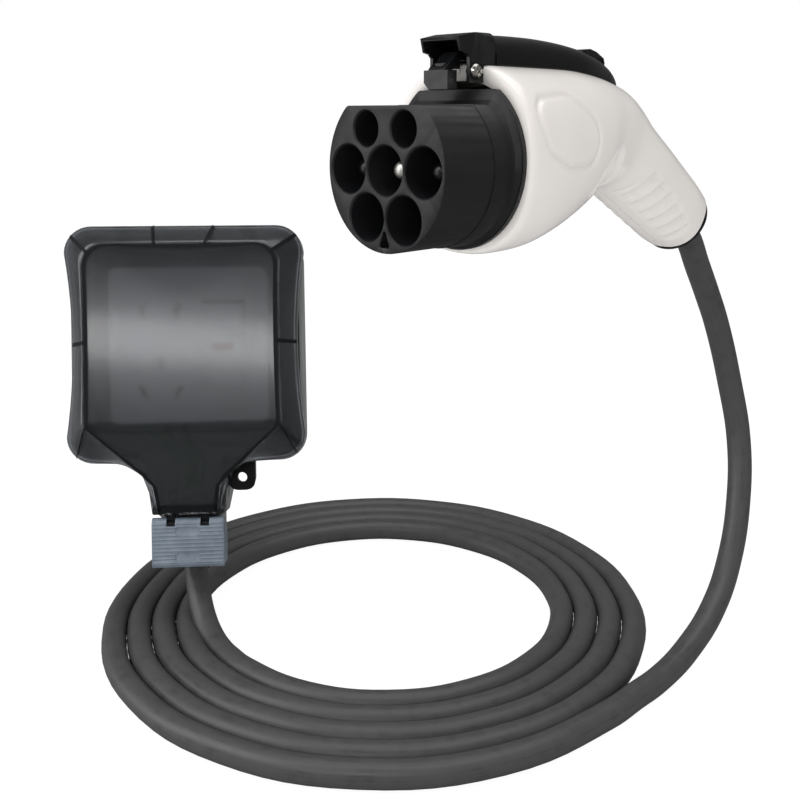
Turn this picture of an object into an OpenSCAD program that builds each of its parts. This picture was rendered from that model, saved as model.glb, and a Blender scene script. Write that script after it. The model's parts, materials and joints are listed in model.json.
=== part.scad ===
// Vehicle-to-load adapter: a seven-cavity charging plug, its lead, and a weatherproof socket box
// Millimetres. Origin at the middle of the plug's face, nose towards -Y, up +Z.

/* [Plug nose] */
// Radius of the nose
nose_r = 29.5; // [29:0.5:31]
// Height of the flat along the top of the nose, above its axis
nose_flat = 22.5; // [22:0.5:24]
// Length of the nose, from its face to the back of its flange
nose_l = 40; // [36:1:46]
// Distance between neighbouring power cavities
pitch = 19; // [18.5:0.1:19.2]
// Radius of the power cavities
power_r = 8.8; // [8:0.1:9]
// Radius of the signal cavities
signal_r = 6.2; // [5.5:0.1:6.4]
// Depth of the cavities behind the face
cavity_depth = 32; // [26:1:34]
// How far the pin tips lie behind the face
pin_setback = 7; // [5:0.5:12]
// Radius of the earth pin
earth_r = 3.2; // [2.5:0.1:3.6]
// Radius of the two power pins
power_pin_r = 3; // [2.5:0.1:3.6]
// Radius of the two signal pins
signal_pin_r = 1.5; // [1:0.1:2]
// How far the mating barrel may slide over the nose
nose_seat = 26; // [24:1:28]
// Radius of the flange behind the nose
flange_r = 33; // [32.5:0.5:34]
// Thickness of the flange
flange_t = 2.2; // [1.6:0.2:3]

/* [Plug shell] */
// Half width of the body behind the nose
body_r = 35.5; // [35:0.5:37]
// Half width of the handle
handle_r = 18.5; // [17.5:0.5:20]
// Wall of the moulded shell
shell_wall = 2.8; // [2.2:0.2:3]
// Depth of the shell's front wall
front_wall = 4; // [3.4:0.2:4.4]
// Depth of the outlines and grip ribs cut into the shell
groove = 0.7; // [0.4:0.1:1]
// Height of the top cover above the shell
cover_rise = 10; // [9.6:0.2:11]
// Wall of the top cover
cover_wall = 2; // [1.6:0.2:2.2]
// Outer radius of the bosses for the shell screws
boss_r = 3.6; // [3.2:0.1:4]
// Radius of the shell screws
screw_r = 1.45; // [1.2:0.05:1.6]

/* [Latch] */
// Distance of the latch pivot behind the shell's front
pivot_y = 30; // [26:1:34]
// Radius of the latch pivot pin
pivot_r = 1.5; // [1.2:0.1:1.8]
// Width of the latch hook
hook_w = 12.2; // [10:0.2:12.4]
// Width of the latch lever's arm
arm_w = 8; // [6:0.5:8.5]
// Width of the release button
button_w = 12; // [10:0.5:13]

/* [Lead] */
// Diameter of the lead
cord_d = 13; // [12:0.5:13]
// Radius of one insulated core
core_r = 1.9; // [1.4:0.1:2]

/* [Box] */
// Half width and half height of the box
box_half = 64; // [62:0.5:66]
// Corner radius of the box
box_corner = 14.5; // [12:0.5:17]
// Depth of the base behind the parting plane
base_depth = 36; // [35:1:42]
// Height of the lid's raised panel in front of the parting plane
lid_depth = 26; // [24:1:30]
// Height of the lid's upright rim
rim_depth = 10; // [8:0.5:12]
// How far the long sides of the lid are drawn in at the middle
waist = 3.9; // [2:0.1:5]
// Wall of the box
box_wall = 2.4; // [1.8:0.1:2.6]
// Radius of the padlock hole
eye_r = 2.7; // [2.2:0.1:3]
// Half width of the clip over the neck
clip_half = 18.95; // [18.6:0.05:20]
// Length of the clip
clip_l = 26.2; // [24:0.2:28]
// Side of the square wall plate
plate_side = 86; // [84:1:88]
// Thickness of the wall plate
plate_t = 7; // [6:0.5:8]
// Angle at which the rocker rests
rocker_tilt = 7; // [4:1:8]

/* [Hidden] */

// Clearance between fixed pieces, and radial clearance of a pin in its hole
fit = 0.15;
run = 0.05;
// Air between a moving piece and its neighbours
air = 0.35;
eps = 0.01;

// Positions of the cavities: earth in the middle, line and neutral beside it, two empty, two signal
earth_at = [0, 0];
power_at = [[-pitch, 0], [pitch, 0]];
empty_at = [[-pitch / 2, -pitch * 0.895], [pitch / 2, -pitch * 0.895]];
signal_at = [[-pitch / 2, 14.5], [pitch / 2, 14.5]];

// Nose: neck through the shell's front wall, gasket and collar behind it
neck_r = nose_r - 1;
neck_flat = nose_flat - 1;
collar_lip = 1.5;
root_step = 0.4;
gasket_t = 0.9;
collar_t = 3;
flange_lift = 1.5;
flange_flat = 26.8;
corner_r = 3;
neck_l = front_wall + fit + gasket_t + fit;
nose_back = nose_l + neck_l + collar_t;

// Crimp barrel behind each pin, and the moulded tips of the power pins
barrel_l = 12;
cap_l = 2.5;
cap_step = 1;

// Shell stations behind its front face: distance, height, droop, and how far each half size lies
// between the handle's (0) and the body's (1), for side, top and bottom
STATIONS = [
    [0, 2.5, 0, 0.94, 0.94, 0.94],
    [4, 2.5, 0, 1.02, 1, 1.03],
    [20, 2.5, 0, 1, 1, 1],
    [35, 3, 3, 0.91, 0.97, 0.85],
    [50, 4.5, 8, 0.76, 0.88, 0.7],
    [63, 6, 14, 0.59, 0.74, 0.56],
    [75, 7, 20, 0.38, 0.6, 0.38],
    [87, 6.5, 25, 0.21, 0.47, 0.18],
    [98, 4.5, 29, 0.08, 0.28, 0.03],
    [110, -0.5, 30, 0.03, 0.08, 0],
    [125, -8.5, 30, 0.02, 0.01, -0.02],
    [140, -17, 30, -0.01, -0.03, -0.04],
    [155, -25.5, 30, -0.05, -0.07, -0.07],
    [165, -31, 30, -0.12, -0.13, -0.13]];
squareness = 2.35;
last = len(STATIONS) - 1;
tail = STATIONS[last];

// Height of the shell's deck under the cover, and of the latch pivot above it
deck_z = STATIONS[2][1] + body_r;
pivot_z = deck_z + 4;

// Ear beside the hook that the hood's screw goes into, radius of the deck under the hood, and
// that screw's place and head
ear_x = hook_w / 2 + air;
ear_t = 1.8;
deck_r = 52.8;
hood_y = -3;
hood_head_r = 2.8;
hood_z = deck_z - 3.4;

// Screw bosses in the shell, distance behind its front and height
BOSSES = [[26, -20], [30, 22], [76, 21], [130.3, 0.6]];
head_r = 2.9;
head_h = 2;

// Cover stations: shell station, half width, rise as a share of the cover's
COVER = [
    [1.12, 13.8, 0.99], [2, 13.6, 1.03], [3, 13, 1.02], [4, 12.4, 0.93], [4.7, 11.8, 0.88],
    [5.3, 10.4, 0.83], [5.9, 8.6, 0.72], [6.4, 7, 0.6], [7, 4.2, 0.4], [7.4, 1.6, 0.16]];

// Release button along the cover, and the return spring in its well
button_from = 67.5;
button_to = 89;
well_y = 60;
well_depth = 8;
spring_r = 2.4;
wire_r = 0.35;

// Handle end: cap, clamp and the place where the lead's sheath ends
cap_t = 2.2;
cap_r = 15.6;
sleeve_l = 26;
sleeve_r = 8.6;
clamp_l = 8;
clamp_back = 32;
clamp_r = 11.4;
sheath_back = 48;

// Route of the lead from the handle to the coil, and from the box to the coil
LEAD = [[0, 205, -31], [2, 218, -41], [4, 230, -56], [7, 241, -72], [11, 249, -89], [19, 258, -122],
    [28, 258, -156], [36, 247, -187], [42, 227, -215], [45, 203, -233], [46, 174, -245],
    [46, 146, -250], [45, 123, -250.5], [44.4, 101.5, -250.5]];
DROP = [[-179.4, 25.5, -210.7], [-177, 23.7, -220], [-172, 20.8, -229.4], [-164.6, 17.2, -237.8],
    [-155.1, 13.4, -244.4], [-143.9, 9.9, -248.7], [-131.5, 7, -250.4], [-120, 5.2, -250.5],
    [-108.4, 4.4, -250.5]];
coil_at = [-108, 101.5];
coil_z = -250.5;
coil_in = 97.1;
coil_out = 152.4;

// The box lies in its own frame: x across, y up along it, z out through the lid
box_at = [-195, 39, -102];
box_lean = 17;
box_turn = 49;
part_gap = 0.4;
neck_top = box_half + 11;
neck_end = 113;
neck_half = 16.4;
neck_floor = 24;
neck_mid = 84;
cable_z = -12;
cable_in = 80;
saddle_screw_r = 1.1;
hinge_y = box_half - 2.5;
hinge_z = -4.5;
hinge_pin_r = 1.4;
knuckle_r = 2.7;
KNUCKLES = [-38, 30];
knuckle_w = 8;
eye_at = [28.2, -(box_half + 9)];
eye_tab = 7.2;
eye_t = 4;
clip_pin_r = 1.4;
clip_roll = 4.4;
clip_y = -(neck_end - 15.4);
clip_z = 10.4;
clip_t = 3;
clip_ribs = 11;
LUGS = [-11, 7];
lug_w = 4;
plate_front = -3;
plate_back = plate_front - plate_t;
plate_posts = corners(plate_side / 2 - 4, plate_side / 2 - 4);
rocker_at = [19, 0];
rocker_size = [22, 48];
rocker_axis = plate_back - 1;
mark_size = [12, 4.4];
socket_low = [-36, -36];
socket_high = [3, 36];

// Slots of the five-hole socket: a straight pair above, an earth slot and a slanted pair below
SLOTS = [[-24.9, 18.9, 0], [-6, 18.9, 0], [-15.4, -8.6, 0], [-24.9, -25.5, 30], [-5.9, -25.5, -30]];
CORE_BORES = [-24.9, -15.4, -5.9];

// Lid: the panel in from its edge, and the funnel over the neck as distance along the box,
// half width at the rim and at the top, and how far its top lies below the panel
panel_inset = 12;
panel_corner = 11;
FUNNEL = [[24 - box_half, 50, 46.5, 0], [14 - box_half, 49, 43, 0.3], [1 - box_half, 35.2, 31, 4.2],
    [-2.5 - box_half, 28.6, 24.6, 5.5], [-6 - box_half, 24.9, 20.9, 6.8], [-neck_top, 22.2, 18.1, 8.5],
    [29 - neck_end, 20.1, 16.8, 11], [21.6 - neck_end, 18.7, 16, 12.6]];

function spline(a, b, c, d, t) =
    b + 0.5 * t * (c - a + t * (2 * a - 5 * b + 4 * c - d + t * (3 * (b - c) + d - a)));
function knot(i, k) = STATIONS[max(0, min(last, i))][k];
function station(s) = let (i = floor(s), t = s - i)
    [for (k = [0:5]) spline(knot(i - 1, k), knot(i, k), knot(i + 1, k), knot(i + 2, k), t)];
function half(blend) = handle_r + (body_r - handle_r) * blend;
function bend(v, e) = sign(v) * pow(abs(v), e);

// One cross-section of the plug's shell, grown or shrunk by a wall
function section(s, grow, count) = let (q = station(s), e = 2 / squareness)
    [for (n = [0:count - 1]) let (a = 360 * n / count,
        v = bend(sin(a), e) * (half(sin(a) > 0 ? q[4] : q[5]) + grow))
        [bend(cos(a), e) * (half(q[3]) + grow), q[0] + v * sin(q[2]), q[1] + v * cos(q[2])]];

// One cross-section of the top cover, an arch that stands on the shell's top line
function arch(c, inset, count) = let (q = station(c[0]), top = half(q[4]), e = 2 / 2.6)
    [for (n = [0:count - 1]) let (a = 360 * n / count, h = c[2] * cover_rise - inset,
        v = top + bend(sin(a), e) * (sin(a) > 0 ? max(h, 0.2) : 7 + 2 * inset))
        [bend(cos(a), e) * max(c[1] - inset, 0.3), q[0] + v * sin(q[2]), q[1] + v * cos(q[2])]];

function unit(v) = v / norm(v);
function heading(path, i) =
    unit(path[min(len(path) - 1, i + 1)] - path[max(0, i - 1)]);
function hoop(path, i, r, sides, side) = let (t = heading(path, i),
    e = unit(cross(t, side)), f = cross(e, t))
    [for (n = [0:sides - 1]) path[i] + r * (cos(360 * n / sides) * e + sin(360 * n / sides) * f)];

module skin(rings) {
    n = len(rings[0]);
    m = len(rings);
    points = [for (ring = rings) each ring];
    front = [[for (i = [n - 1:-1:0]) i]];
    back = [[for (i = [0:n - 1]) (m - 1) * n + i]];
    lower = [for (j = [0:m - 2], i = [0:n - 1])
        [j * n + i, j * n + (i + 1) % n, (j + 1) * n + (i + 1) % n]];
    upper = [for (j = [0:m - 2], i = [0:n - 1])
        [j * n + i, (j + 1) * n + (i + 1) % n, (j + 1) * n + i]];
    polyhedron(points, concat(front, back, lower, upper));
}

module tube(path, r, sides, side = [1, 0, 0]) {
    skin([for (i = [0:len(path) - 1]) hoop(path, i, r, sides, side)]);
}

// Along +Y from y
module rod(x, y, z, r, l, fn = 48) {
    translate([x, y, z]) rotate([-90, 0, 0]) cylinder(r = r, h = l, $fn = fn);
}

// Along +X from x
module bar(x, y, z, r, l, fn = 32) {
    translate([x, y, z]) rotate([0, 90, 0]) cylinder(r = r, h = l, $fn = fn);
}

module behind() {
    translate([0, nose_l, 0]) children();
}

// The handle's own end: z runs out along the lead, y is up across the handle
module at_tail(back = 0) {
    behind() translate([0, tail[0], tail[1]]) rotate([-90 - tail[2], 0, 0]) translate([0, 0, -back])
        children();
}

// Circle with a flat across its top and rounded corners
module d_outline(r, flat, corner = corner_r) {
    cx = sqrt(pow(r - corner, 2) - pow(flat - corner, 2));
    cy = flat - corner;
    reach = 1.6 * r / (r - corner);
    difference() {
        intersection() {
            circle(r, $fn = 96);
            translate([-r, -r]) square([2 * r, r + flat]);
        }
        for (m = [0, 1]) mirror([m, 0])
            polygon([[cx, cy], [cx * reach, cy * reach], [cx * reach, 2 * r], [cx, 2 * r]]);
    }
    for (m = [-1, 1]) translate([m * cx, cy]) circle(corner, $fn = 48);
}

// A D outline from one distance behind the face to another
module d_slab(y, l, r, flat, lift = 0) {
    translate([0, y, lift]) rotate([90, 0, 0]) translate([0, 0, -l]) linear_extrude(l)
        d_outline(r, flat);
}

module cavity(p, r) {
    chamfer = 0.6;
    rod(p[0], -eps, p[1], r, cavity_depth + eps, 64);
    translate([p[0], -eps, p[1]]) rotate([-90, 0, 0])
        cylinder(r1 = r + chamfer, r2 = r, h = chamfer + eps, $fn = 64);
}

module nose() {
    flare = 3.2;
    color([0.13, 0.14, 0.15]) difference() {
        union() {
            d_slab(0, nose_l, nose_r, nose_flat);
            d_slab(nose_seat, nose_l - nose_seat, nose_r + root_step, nose_flat + root_step);
            d_slab(nose_l - flange_t, flange_t, flange_r, flange_flat, flange_lift);
            hull() {
                d_slab(nose_l - flange_t - flare, eps, nose_r + root_step, nose_flat + root_step);
                d_slab(nose_l - flange_t - 0.4 * flare, eps, nose_r + 1, nose_flat + 1.6, 0.3);
            }
            hull() {
                d_slab(nose_l - flange_t - 0.4 * flare, eps, nose_r + 1, nose_flat + 1.6, 0.3);
                d_slab(nose_l - flange_t, eps, flange_r - 0.6, flange_flat - 0.8, flange_lift);
            }
            d_slab(nose_l - eps, neck_l + 2 * eps, neck_r, neck_flat);
            d_slab(nose_l + neck_l, collar_t, neck_r + collar_lip, neck_flat + collar_lip);
        }
        cavity(earth_at, power_r);
        for (p = power_at) cavity(p, power_r);
        for (p = empty_at) cavity(p, power_r);
        for (p = signal_at) cavity(p, signal_r);
        rod(earth_at[0], cavity_depth - 1, earth_at[1], earth_r + run, nose_back);
        for (p = power_at) rod(p[0], cavity_depth - 1, p[1], power_pin_r + run, nose_back);
        for (p = signal_at) rod(p[0], cavity_depth - 1, p[1], signal_pin_r + run, nose_back);
        keyway();
    }
}

// Blind three-cornered recess below the cavities
module keyway() {
    w = 5;
    h = 5.2;
    low = -nose_r + 2;
    translate([0, 14, 0]) rotate([90, 0, 0]) linear_extrude(14 + eps) {
        polygon([[-w / 2, low + 0.8], [w / 2, low + 0.8], [0.9, low + h], [-0.9, low + h]]);
        translate([-w / 2 + 0.8, low]) square([w - 1.6, 1]);
        for (m = [-1, 1]) translate([m * (w / 2 - 0.8), low + 0.8]) circle(0.8, $fn = 20);
        translate([0, low + h]) circle(0.9, $fn = 20);
    }
}

module nose_gasket() {
    color([0.08, 0.08, 0.08]) difference() {
        d_slab(nose_l + front_wall + fit, gasket_t, neck_r + collar_lip, neck_flat + collar_lip);
        d_slab(nose_l, neck_l + collar_t, neck_r + fit, neck_flat + fit);
    }
}

// Turned pin: domed tip, shaft, shoulder behind the nose and crimp barrel
module pin(p, r, tip) {
    dome = 0.55 * r;
    translate([p[0], 0, p[1]]) rotate([-90, 0, 0]) rotate_extrude($fn = 48)
        polygon([[0, tip], [r - dome, tip], [r - 0.35 * dome, tip + 0.35 * dome], [r, tip + dome],
            [r, nose_back + fit], [r + 1, nose_back + fit], [r + 1, nose_back + 1.5],
            [r + 0.3, nose_back + 2], [r + 0.3, nose_back + barrel_l], [0, nose_back + barrel_l]]);
}

module earth_pin() {
    color([0.86, 0.86, 0.84]) pin(earth_at, earth_r, pin_setback);
}

module power_pins() {
    color([0.8, 0.78, 0.72]) for (p = power_at) difference() {
        pin(p, power_pin_r, pin_setback + cap_l);
        rod(p[0], pin_setback, p[1], power_pin_r - cap_step + run, cap_l + 3);
    }
}

// Moulded insulating tip on each power pin
module power_pin_caps() {
    r = power_pin_r;
    color([0.05, 0.05, 0.05]) for (p = power_at)
        translate([p[0], pin_setback, p[1]]) rotate([-90, 0, 0]) rotate_extrude($fn = 48)
            polygon([[0, 0], [0.4 * r, 0.1], [0.75 * r, 0.6], [r, 1.5], [r, cap_l],
                [r - cap_step, cap_l], [r - cap_step, cap_l + 3 - run], [0, cap_l + 3 - run]]);
}

module signal_pins() {
    color([0.8, 0.78, 0.72]) for (p = signal_at) pin(p, signal_pin_r, pin_setback + 4);
}

module shell_body(grow, step, count) {
    skin([for (s = [0:step:last]) section(s, grow, count)]);
}

// Rounded D of the side panels, seen from the side, distance behind the front against height
module panel_outline(inset) {
    offset(-inset) hull() {
        translate([11, 20.5]) circle(4.5, $fn = 32);
        translate([26, 20.8]) circle(6, $fn = 32);
        translate([38, 9.4]) circle(10, $fn = 32);
        translate([22, 7.8]) circle(7, $fn = 32);
        translate([12.5, 12]) circle(6.5, $fn = 32);
    }
}

// Everything that is taken out of, or left inside, the moulded body before it is parted
module shell_solid() {
    behind() difference() {
        shell_body(0, 0.5, 36);
        difference() {
            skin([for (s = [1:1:last - 1]) section(s, -shell_wall, 24)]);
            translate([-50, -1, -50]) cube([100, front_wall + 1, 100]);
            for (b = BOSSES) bar(-40, b[0], b[1], boss_r, 80, 20);
            translate([0, well_y, deck_z - well_depth - 2])
                cylinder(r = spring_r + 2.6, h = 20, $fn = 32);
            clamp_ribs();
        }
        front_opening();
        ear_gap();
        for (b = BOSSES) screw_hole(b);
        translate([0, well_y, deck_z - well_depth])
            cylinder(r = spring_r + wire_r + 0.4, h = 20, $fn = 32);
        tail_opening();
        panels();
        grip_ribs();
    }
}

module front_opening() {
    translate([0, -nose_l, 0])
        d_slab(nose_l - 1, front_wall + 3, neck_r + fit, neck_flat + fit);
}

// Nothing of the shell stands in the latch hook's way at the front of the deck
module ear_gap() {
    translate([-arm_w / 2 - air, -1, deck_z - 0.6]) cube([arm_w + 2 * air, 24, 3]);
}

module screw_hole(b) {
    bar(-40, b[0], b[1], screw_r + fit, 40, 24);
    bar(-eps, b[0], b[1], screw_r + run, 11, 24);
    bar(-60, b[0], b[1], head_r + fit, 60 - head_seat(b), 24);
}

// How far from the parting plane a shell screw's head seats
function head_seat(b) = b[0] > 100 ? 9 : 14;

module clamp_ribs() {
    for (back = [clamp_back - clamp_l / 2 - 2 - fit, clamp_back + clamp_l / 2 + fit])
        translate([0, tail[0], tail[1]]) rotate([-90 - tail[2], 0, 0]) translate([0, 0, -back - 2])
            difference() {
                cylinder(r = 24, h = 2, $fn = 32);
                translate([0, 0, -1]) cylinder(r = cord_d / 2 + 1.2, h = 4, $fn = 32);
            }
}

module tail_opening() {
    translate([0, tail[0], tail[1]]) rotate([-90 - tail[2], 0, 0]) translate([0, 0, -14])
        cylinder(r = sleeve_r + 1.2, h = 30, $fn = 40);
}

module panels() {
    difference() {
        for (m = [0, 1]) mirror([m, 0, 0]) translate([20, 0, 0]) rotate([90, 0, 90])
            linear_extrude(30) difference() {
                panel_outline(0);
                panel_outline(0.9);
            }
        skin([for (s = [1:0.5:4.5]) section(s, -groove, 36)]);
    }
}

// Crescent ribs under the grip, left standing between scooped flats
module grip_ribs() {
    for (i = [0:4]) translate([0, 110.4 + 8.4 * i, -23.6 - 4.85 * i]) rotate([-30, 0, 0])
        rotate([0, 90, 0]) cylinder(r = 3.1, h = 24, center = true, $fn = 24);
}

module shell_right() {
    color([0.93, 0.92, 0.9]) {
        intersection() {
            shell_solid();
            translate([run, -20, -120]) cube([80, 300, 220]);
        }
        ear();
    }
}

module shell_left() {
    color([0.93, 0.92, 0.9]) {
        intersection() {
            shell_solid();
            translate([-80 - run, -20, -120]) cube([80, 300, 220]);
        }
        mirror([1, 0, 0]) ear();
    }
}

// Ear in front of the shell that the hood's screw goes into
module ear() {
    behind() difference() {
        translate([ear_x, -6.2, deck_z - 7]) cube([ear_t, 7.2, 6.2]);
        bar(0, hood_y, hood_z, screw_r + run, 20, 24);
    }
}

module shell_screws() {
    color([0.75, 0.75, 0.75]) behind() for (b = BOSSES) {
        bar(-head_seat(b) - eps, b[0], b[1], screw_r, head_seat(b) + 10, 24);
        difference() {
            bar(-head_seat(b) - head_h, b[0], b[1], head_r, head_h, 32);
            bar(-head_seat(b) - head_h - 1, b[0], b[1], 1.2, 2, 6);
        }
    }
}

module cover_body(inset, count) {
    skin([for (c = COVER) arch(c, inset, count)]);
}

// The hollow under the cover, open at its front
module cover_hollow() {
    first = [COVER[0][0] - 0.1, COVER[0][1], COVER[0][2]];
    intersection() {
        skin([for (c = concat([first], COVER)) arch(c, cover_wall, 24)]);
        translate([-20, -20, 0]) cube([40, 20 + button_to + 1.5, 80]);
    }
}

// Plan of the release button, narrower at its rear
module button_plan(grow) {
    w = button_w / 2 + grow;
    polygon([[-w, button_from - grow], [w, button_from - grow],
        [w - 1.8, button_to + 2 * grow], [-w + 1.8, button_to + 2 * grow]]);
}

module top_cover() {
    color([0.05, 0.05, 0.055]) behind() difference() {
        cover_body(0, 32);
        cover_hollow();
        skin([for (s = [0.5:0.5:8.5]) section(s, fit, 40)]);
        translate([0, 0, deck_z - 12]) linear_extrude(40) button_plan(air);
        bar(-9 - run, pivot_y, pivot_z, pivot_r + run, 18 + 2 * run, 32);
        translate([-arm_w / 2 - 1, -10, deck_z - 2]) cube([arm_w + 2, 30, 7.5]);
    }
    color([0.05, 0.05, 0.055]) behind() pivot_posts();
}

// Posts under the cover that carry the pivot pin
module pivot_posts() {
    for (m = [-1, 1]) difference() {
        translate([m * 7.2 - 1.8, pivot_y - 3.2, deck_z + 0.6]) cube([3.6, 6.4, 8.2]);
        bar(-20, pivot_y, pivot_z, pivot_r + run, 40, 32);
    }
}

module latch_hood() {
    side = ear_x + ear_t + fit;
    outer = side + 1.6;
    front = -12;
    rear = 5;
    color([0.06, 0.06, 0.065]) behind() difference() {
        intersection() {
            translate([-outer - 3, 0, 0]) rotate([90, 0, 90]) linear_extrude(2 * outer + 6)
                hood_side(front, rear);
            hood_plan(outer, front, rear);
            hood_end(outer, front, rear);
        }
        difference() {
            translate([-side, front - 1, deck_z - 9]) cube([2 * side, 20, 16.2]);
            translate([-side - 1, 2.6, deck_z + 6.1]) cube([2 * side + 2, 10, 6]);
        }
        rod(0, -fit, deck_z - deck_r + 2 * fit, deck_r, 8, 96);
        bar(-20, hood_y, hood_z, screw_r + fit, 40, 24);
        for (m = [0, 1]) mirror([m, 0, 0]) bar(outer, hood_y, hood_z, hood_head_r + fit, 6, 40);
    }
}

// Side view of the hood: sloped roof, cut-away mouth, cheek down to the screw
module hood_side(front, rear) {
    polygon([[front, deck_z + 8.3], [front + 9, deck_z + 10.1], [rear, deck_z + 10.2],
        [rear, deck_z - 7.5], [-6, deck_z - 7.5], [-6, deck_z + 1.5], [-7.4, deck_z + 2.8],
        [front + 1.5, deck_z + 3.4]]);
}

// Plan of the hood: narrow at the mouth, as wide as the cover at the seam
module hood_plan(outer, front, rear) {
    translate([0, 0, deck_z - 12]) linear_extrude(30)
        polygon([[-outer + 0.6, front], [outer - 0.6, front], [outer, -4], [13.6, rear],
            [-13.6, rear], [-outer, -4]]);
}

// End view of the hood: rounded shoulders
module hood_end(outer, front, rear) {
    round_r = 3.5;
    translate([0, rear, 0]) rotate([90, 0, 0]) linear_extrude(rear - front) {
        translate([-14, deck_z - 12]) square([28, 18.7]);
        for (m = [-1, 1]) translate([m * (outer + 2.3 - round_r), deck_z + 10.2 - round_r])
            circle(round_r, $fn = 32);
        translate([-outer - 2.3 + round_r, deck_z]) square([2 * (outer + 2.3 - round_r), 10.2]);
    }
}

module hood_screws() {
    seat = ear_x + ear_t + fit + 1.6 + fit;
    color([0.82, 0.82, 0.82]) behind() for (m = [0, 1]) mirror([m, 0, 0]) difference() {
        union() {
            bar(ear_x + 0.2, hood_y, hood_z, screw_r, seat - ear_x, 24);
            translate([seat, hood_y, hood_z]) rotate([0, 90, 0]) rotate_extrude($fn = 40)
                polygon([[0, 0], [hood_head_r, 0], [hood_head_r, 0.7], [hood_head_r - 0.4, 1.3],
                    [1.7, 1.8], [0, 1.9]]);
        }
        for (a = [45, 135]) translate([seat + 2, hood_y, hood_z]) rotate([a, 0, 0])
            cube([2.4, 3.2, 0.6], center = true);
    }
}

// Latch lever seen from the side: hook, arm over the deck, rear pad under the button
module lever_side() {
    tip = -13.5;
    base = deck_z - 9.9;
    polygon([[tip, base], [tip + 5, base], [tip + 5, deck_z - 2.5], [-4.5, deck_z - 2.5],
        [-4.5, deck_z + 0.45], [pivot_y - 6, deck_z + 0.45], [pivot_y, pivot_z - 3.3],
        [pivot_y + 5, deck_z + 1.2], [46, deck_z + 1.9], [button_to - 2.4, deck_z + 1.9],
        [button_to - 1.7, deck_z + 2.6], [button_to - 1.7, deck_z + 4], [pivot_y + 6, deck_z + 4.4],
        [pivot_y, pivot_z + 3.3], [pivot_y - 6, deck_z + 4.2], [-5.4, deck_z + 3.6], [-8.5, deck_z + 0.6],
        [tip + 0.8, deck_z - 2], [tip, deck_z - 3]]);
}

module latch_lever() {
    chamfer = 2.4;
    color([0.08, 0.08, 0.09]) behind() difference() {
        union() {
            translate([-arm_w / 2, 0, 0]) rotate([90, 0, 90]) linear_extrude(arm_w) lever_side();
            translate([0, -13.5, 0]) rotate([-90, 0, 0]) linear_extrude(5)
                polygon([[-hook_w / 2, -(deck_z - 3)], [hook_w / 2, -(deck_z - 3)],
                    [hook_w / 2, -(deck_z - 9.9)], [-hook_w / 2 + chamfer, -(deck_z - 9.9)],
                    [-hook_w / 2, -(deck_z - 9.9 + chamfer)]]);
            bar(-arm_w / 2, pivot_y, pivot_z, 3.3, arm_w, 40);
        }
        bar(-20, pivot_y, pivot_z, pivot_r + run, 40, 32);
        translate([-3.6, -11.9, deck_z - 6.5]) cube([5.4, 1.6, 10]);
    }
}

module pivot_pin() {
    color([0.8, 0.8, 0.8]) behind() bar(-9, pivot_y, pivot_z, pivot_r, 18, 32);
}

// Release button, ridged across its top
module release_button() {
    seat = deck_z + 4 + fit;
    color([0.05, 0.05, 0.055]) behind() difference() {
        intersection() {
            translate([-button_w / 2, 0, 0]) rotate([90, 0, 90]) linear_extrude(button_w)
                polygon([[button_from, seat], [button_from, seat + 0.6], [button_from + 0.6, seat + 2],
                    [button_from + 4.5, seat + 3.4], [button_from + 9, seat + 3.7],
                    [button_from + 14, seat + 2.8], [button_to - 1, seat + 0.4],
                    [button_to, seat - 1.4], [button_to, seat - 3], [button_to - 1.4, seat - 3],
                    [button_to - 1.4, seat]]);
            translate([0, 0, seat - 10]) linear_extrude(30) button_plan(0);
        }
        for (i = [0:3]) translate([0, button_from + 5 + 2.2 * i, seat + 4.6]) rotate([0, 90, 0])
            cylinder(r = 0.8, h = 2 * button_w, center = true, $fn = 20);
    }
}

// Return spring in its well under the lever
module latch_spring() {
    turns = 5;
    steps = 14;
    low = deck_z - well_depth + wire_r + 0.05;
    high = deck_z + 1.9 - wire_r - 0.05;
    path = [for (i = [0:turns * steps]) let (a = 360 * i / steps)
        [spring_r * cos(a), spring_r * sin(a), low + (high - low) * i / (turns * steps)]];
    color([0.7, 0.7, 0.72]) behind() translate([0, well_y, 0]) tube(path, wire_r, 6, [0, 0, 1]);
}

module handle_cap() {
    hole = cord_d / 2 + run;
    color([0.05, 0.05, 0.05]) at_tail() rotate_extrude($fn = 64)
        polygon([[hole, -sleeve_l], [hole + 1, -sleeve_l], [sleeve_r, -8], [sleeve_r + 1, -3],
            [sleeve_r + 1, fit], [cap_r, fit], [cap_r, cap_t - 1], [cap_r - 1, cap_t],
            [hole + 1.2, cap_t + 0.4], [hole, cap_t]]);
}

module cord_clamp() {
    hole = cord_d / 2 + run;
    color([0.2, 0.2, 0.22]) at_tail(clamp_back + clamp_l / 2) difference() {
        intersection() {
            cylinder(r = clamp_r, h = clamp_l, $fn = 48);
            translate([-clamp_r, -9, -1]) cube([2 * clamp_r, 18, clamp_l + 2]);
        }
        translate([0, 0, -1]) cylinder(r = hole, h = clamp_l + 2, $fn = 48);
        translate([-20, -0.4, -1]) cube([40, 0.8, clamp_l + 2]);
        for (m = [-1, 1]) translate([m * 8.9, 0, clamp_l / 2]) rotate([90, 0, 0])
            cylinder(r = 1.1 + run, h = 30, center = true, $fn = 24);
    }
}

module clamp_screws() {
    color([0.75, 0.75, 0.75]) at_tail(clamp_back + clamp_l / 2)
        for (m = [-1, 1]) translate([m * 8.9, 0, clamp_l / 2]) rotate([-90, 0, 0]) {
            translate([0, 0, -8.6]) cylinder(r = 1.1, h = 14.2, $fn = 24);
            translate([0, 0, 5.5]) cylinder(r = 1.1, h = 0.3, $fn = 24);
        }
}

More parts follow.
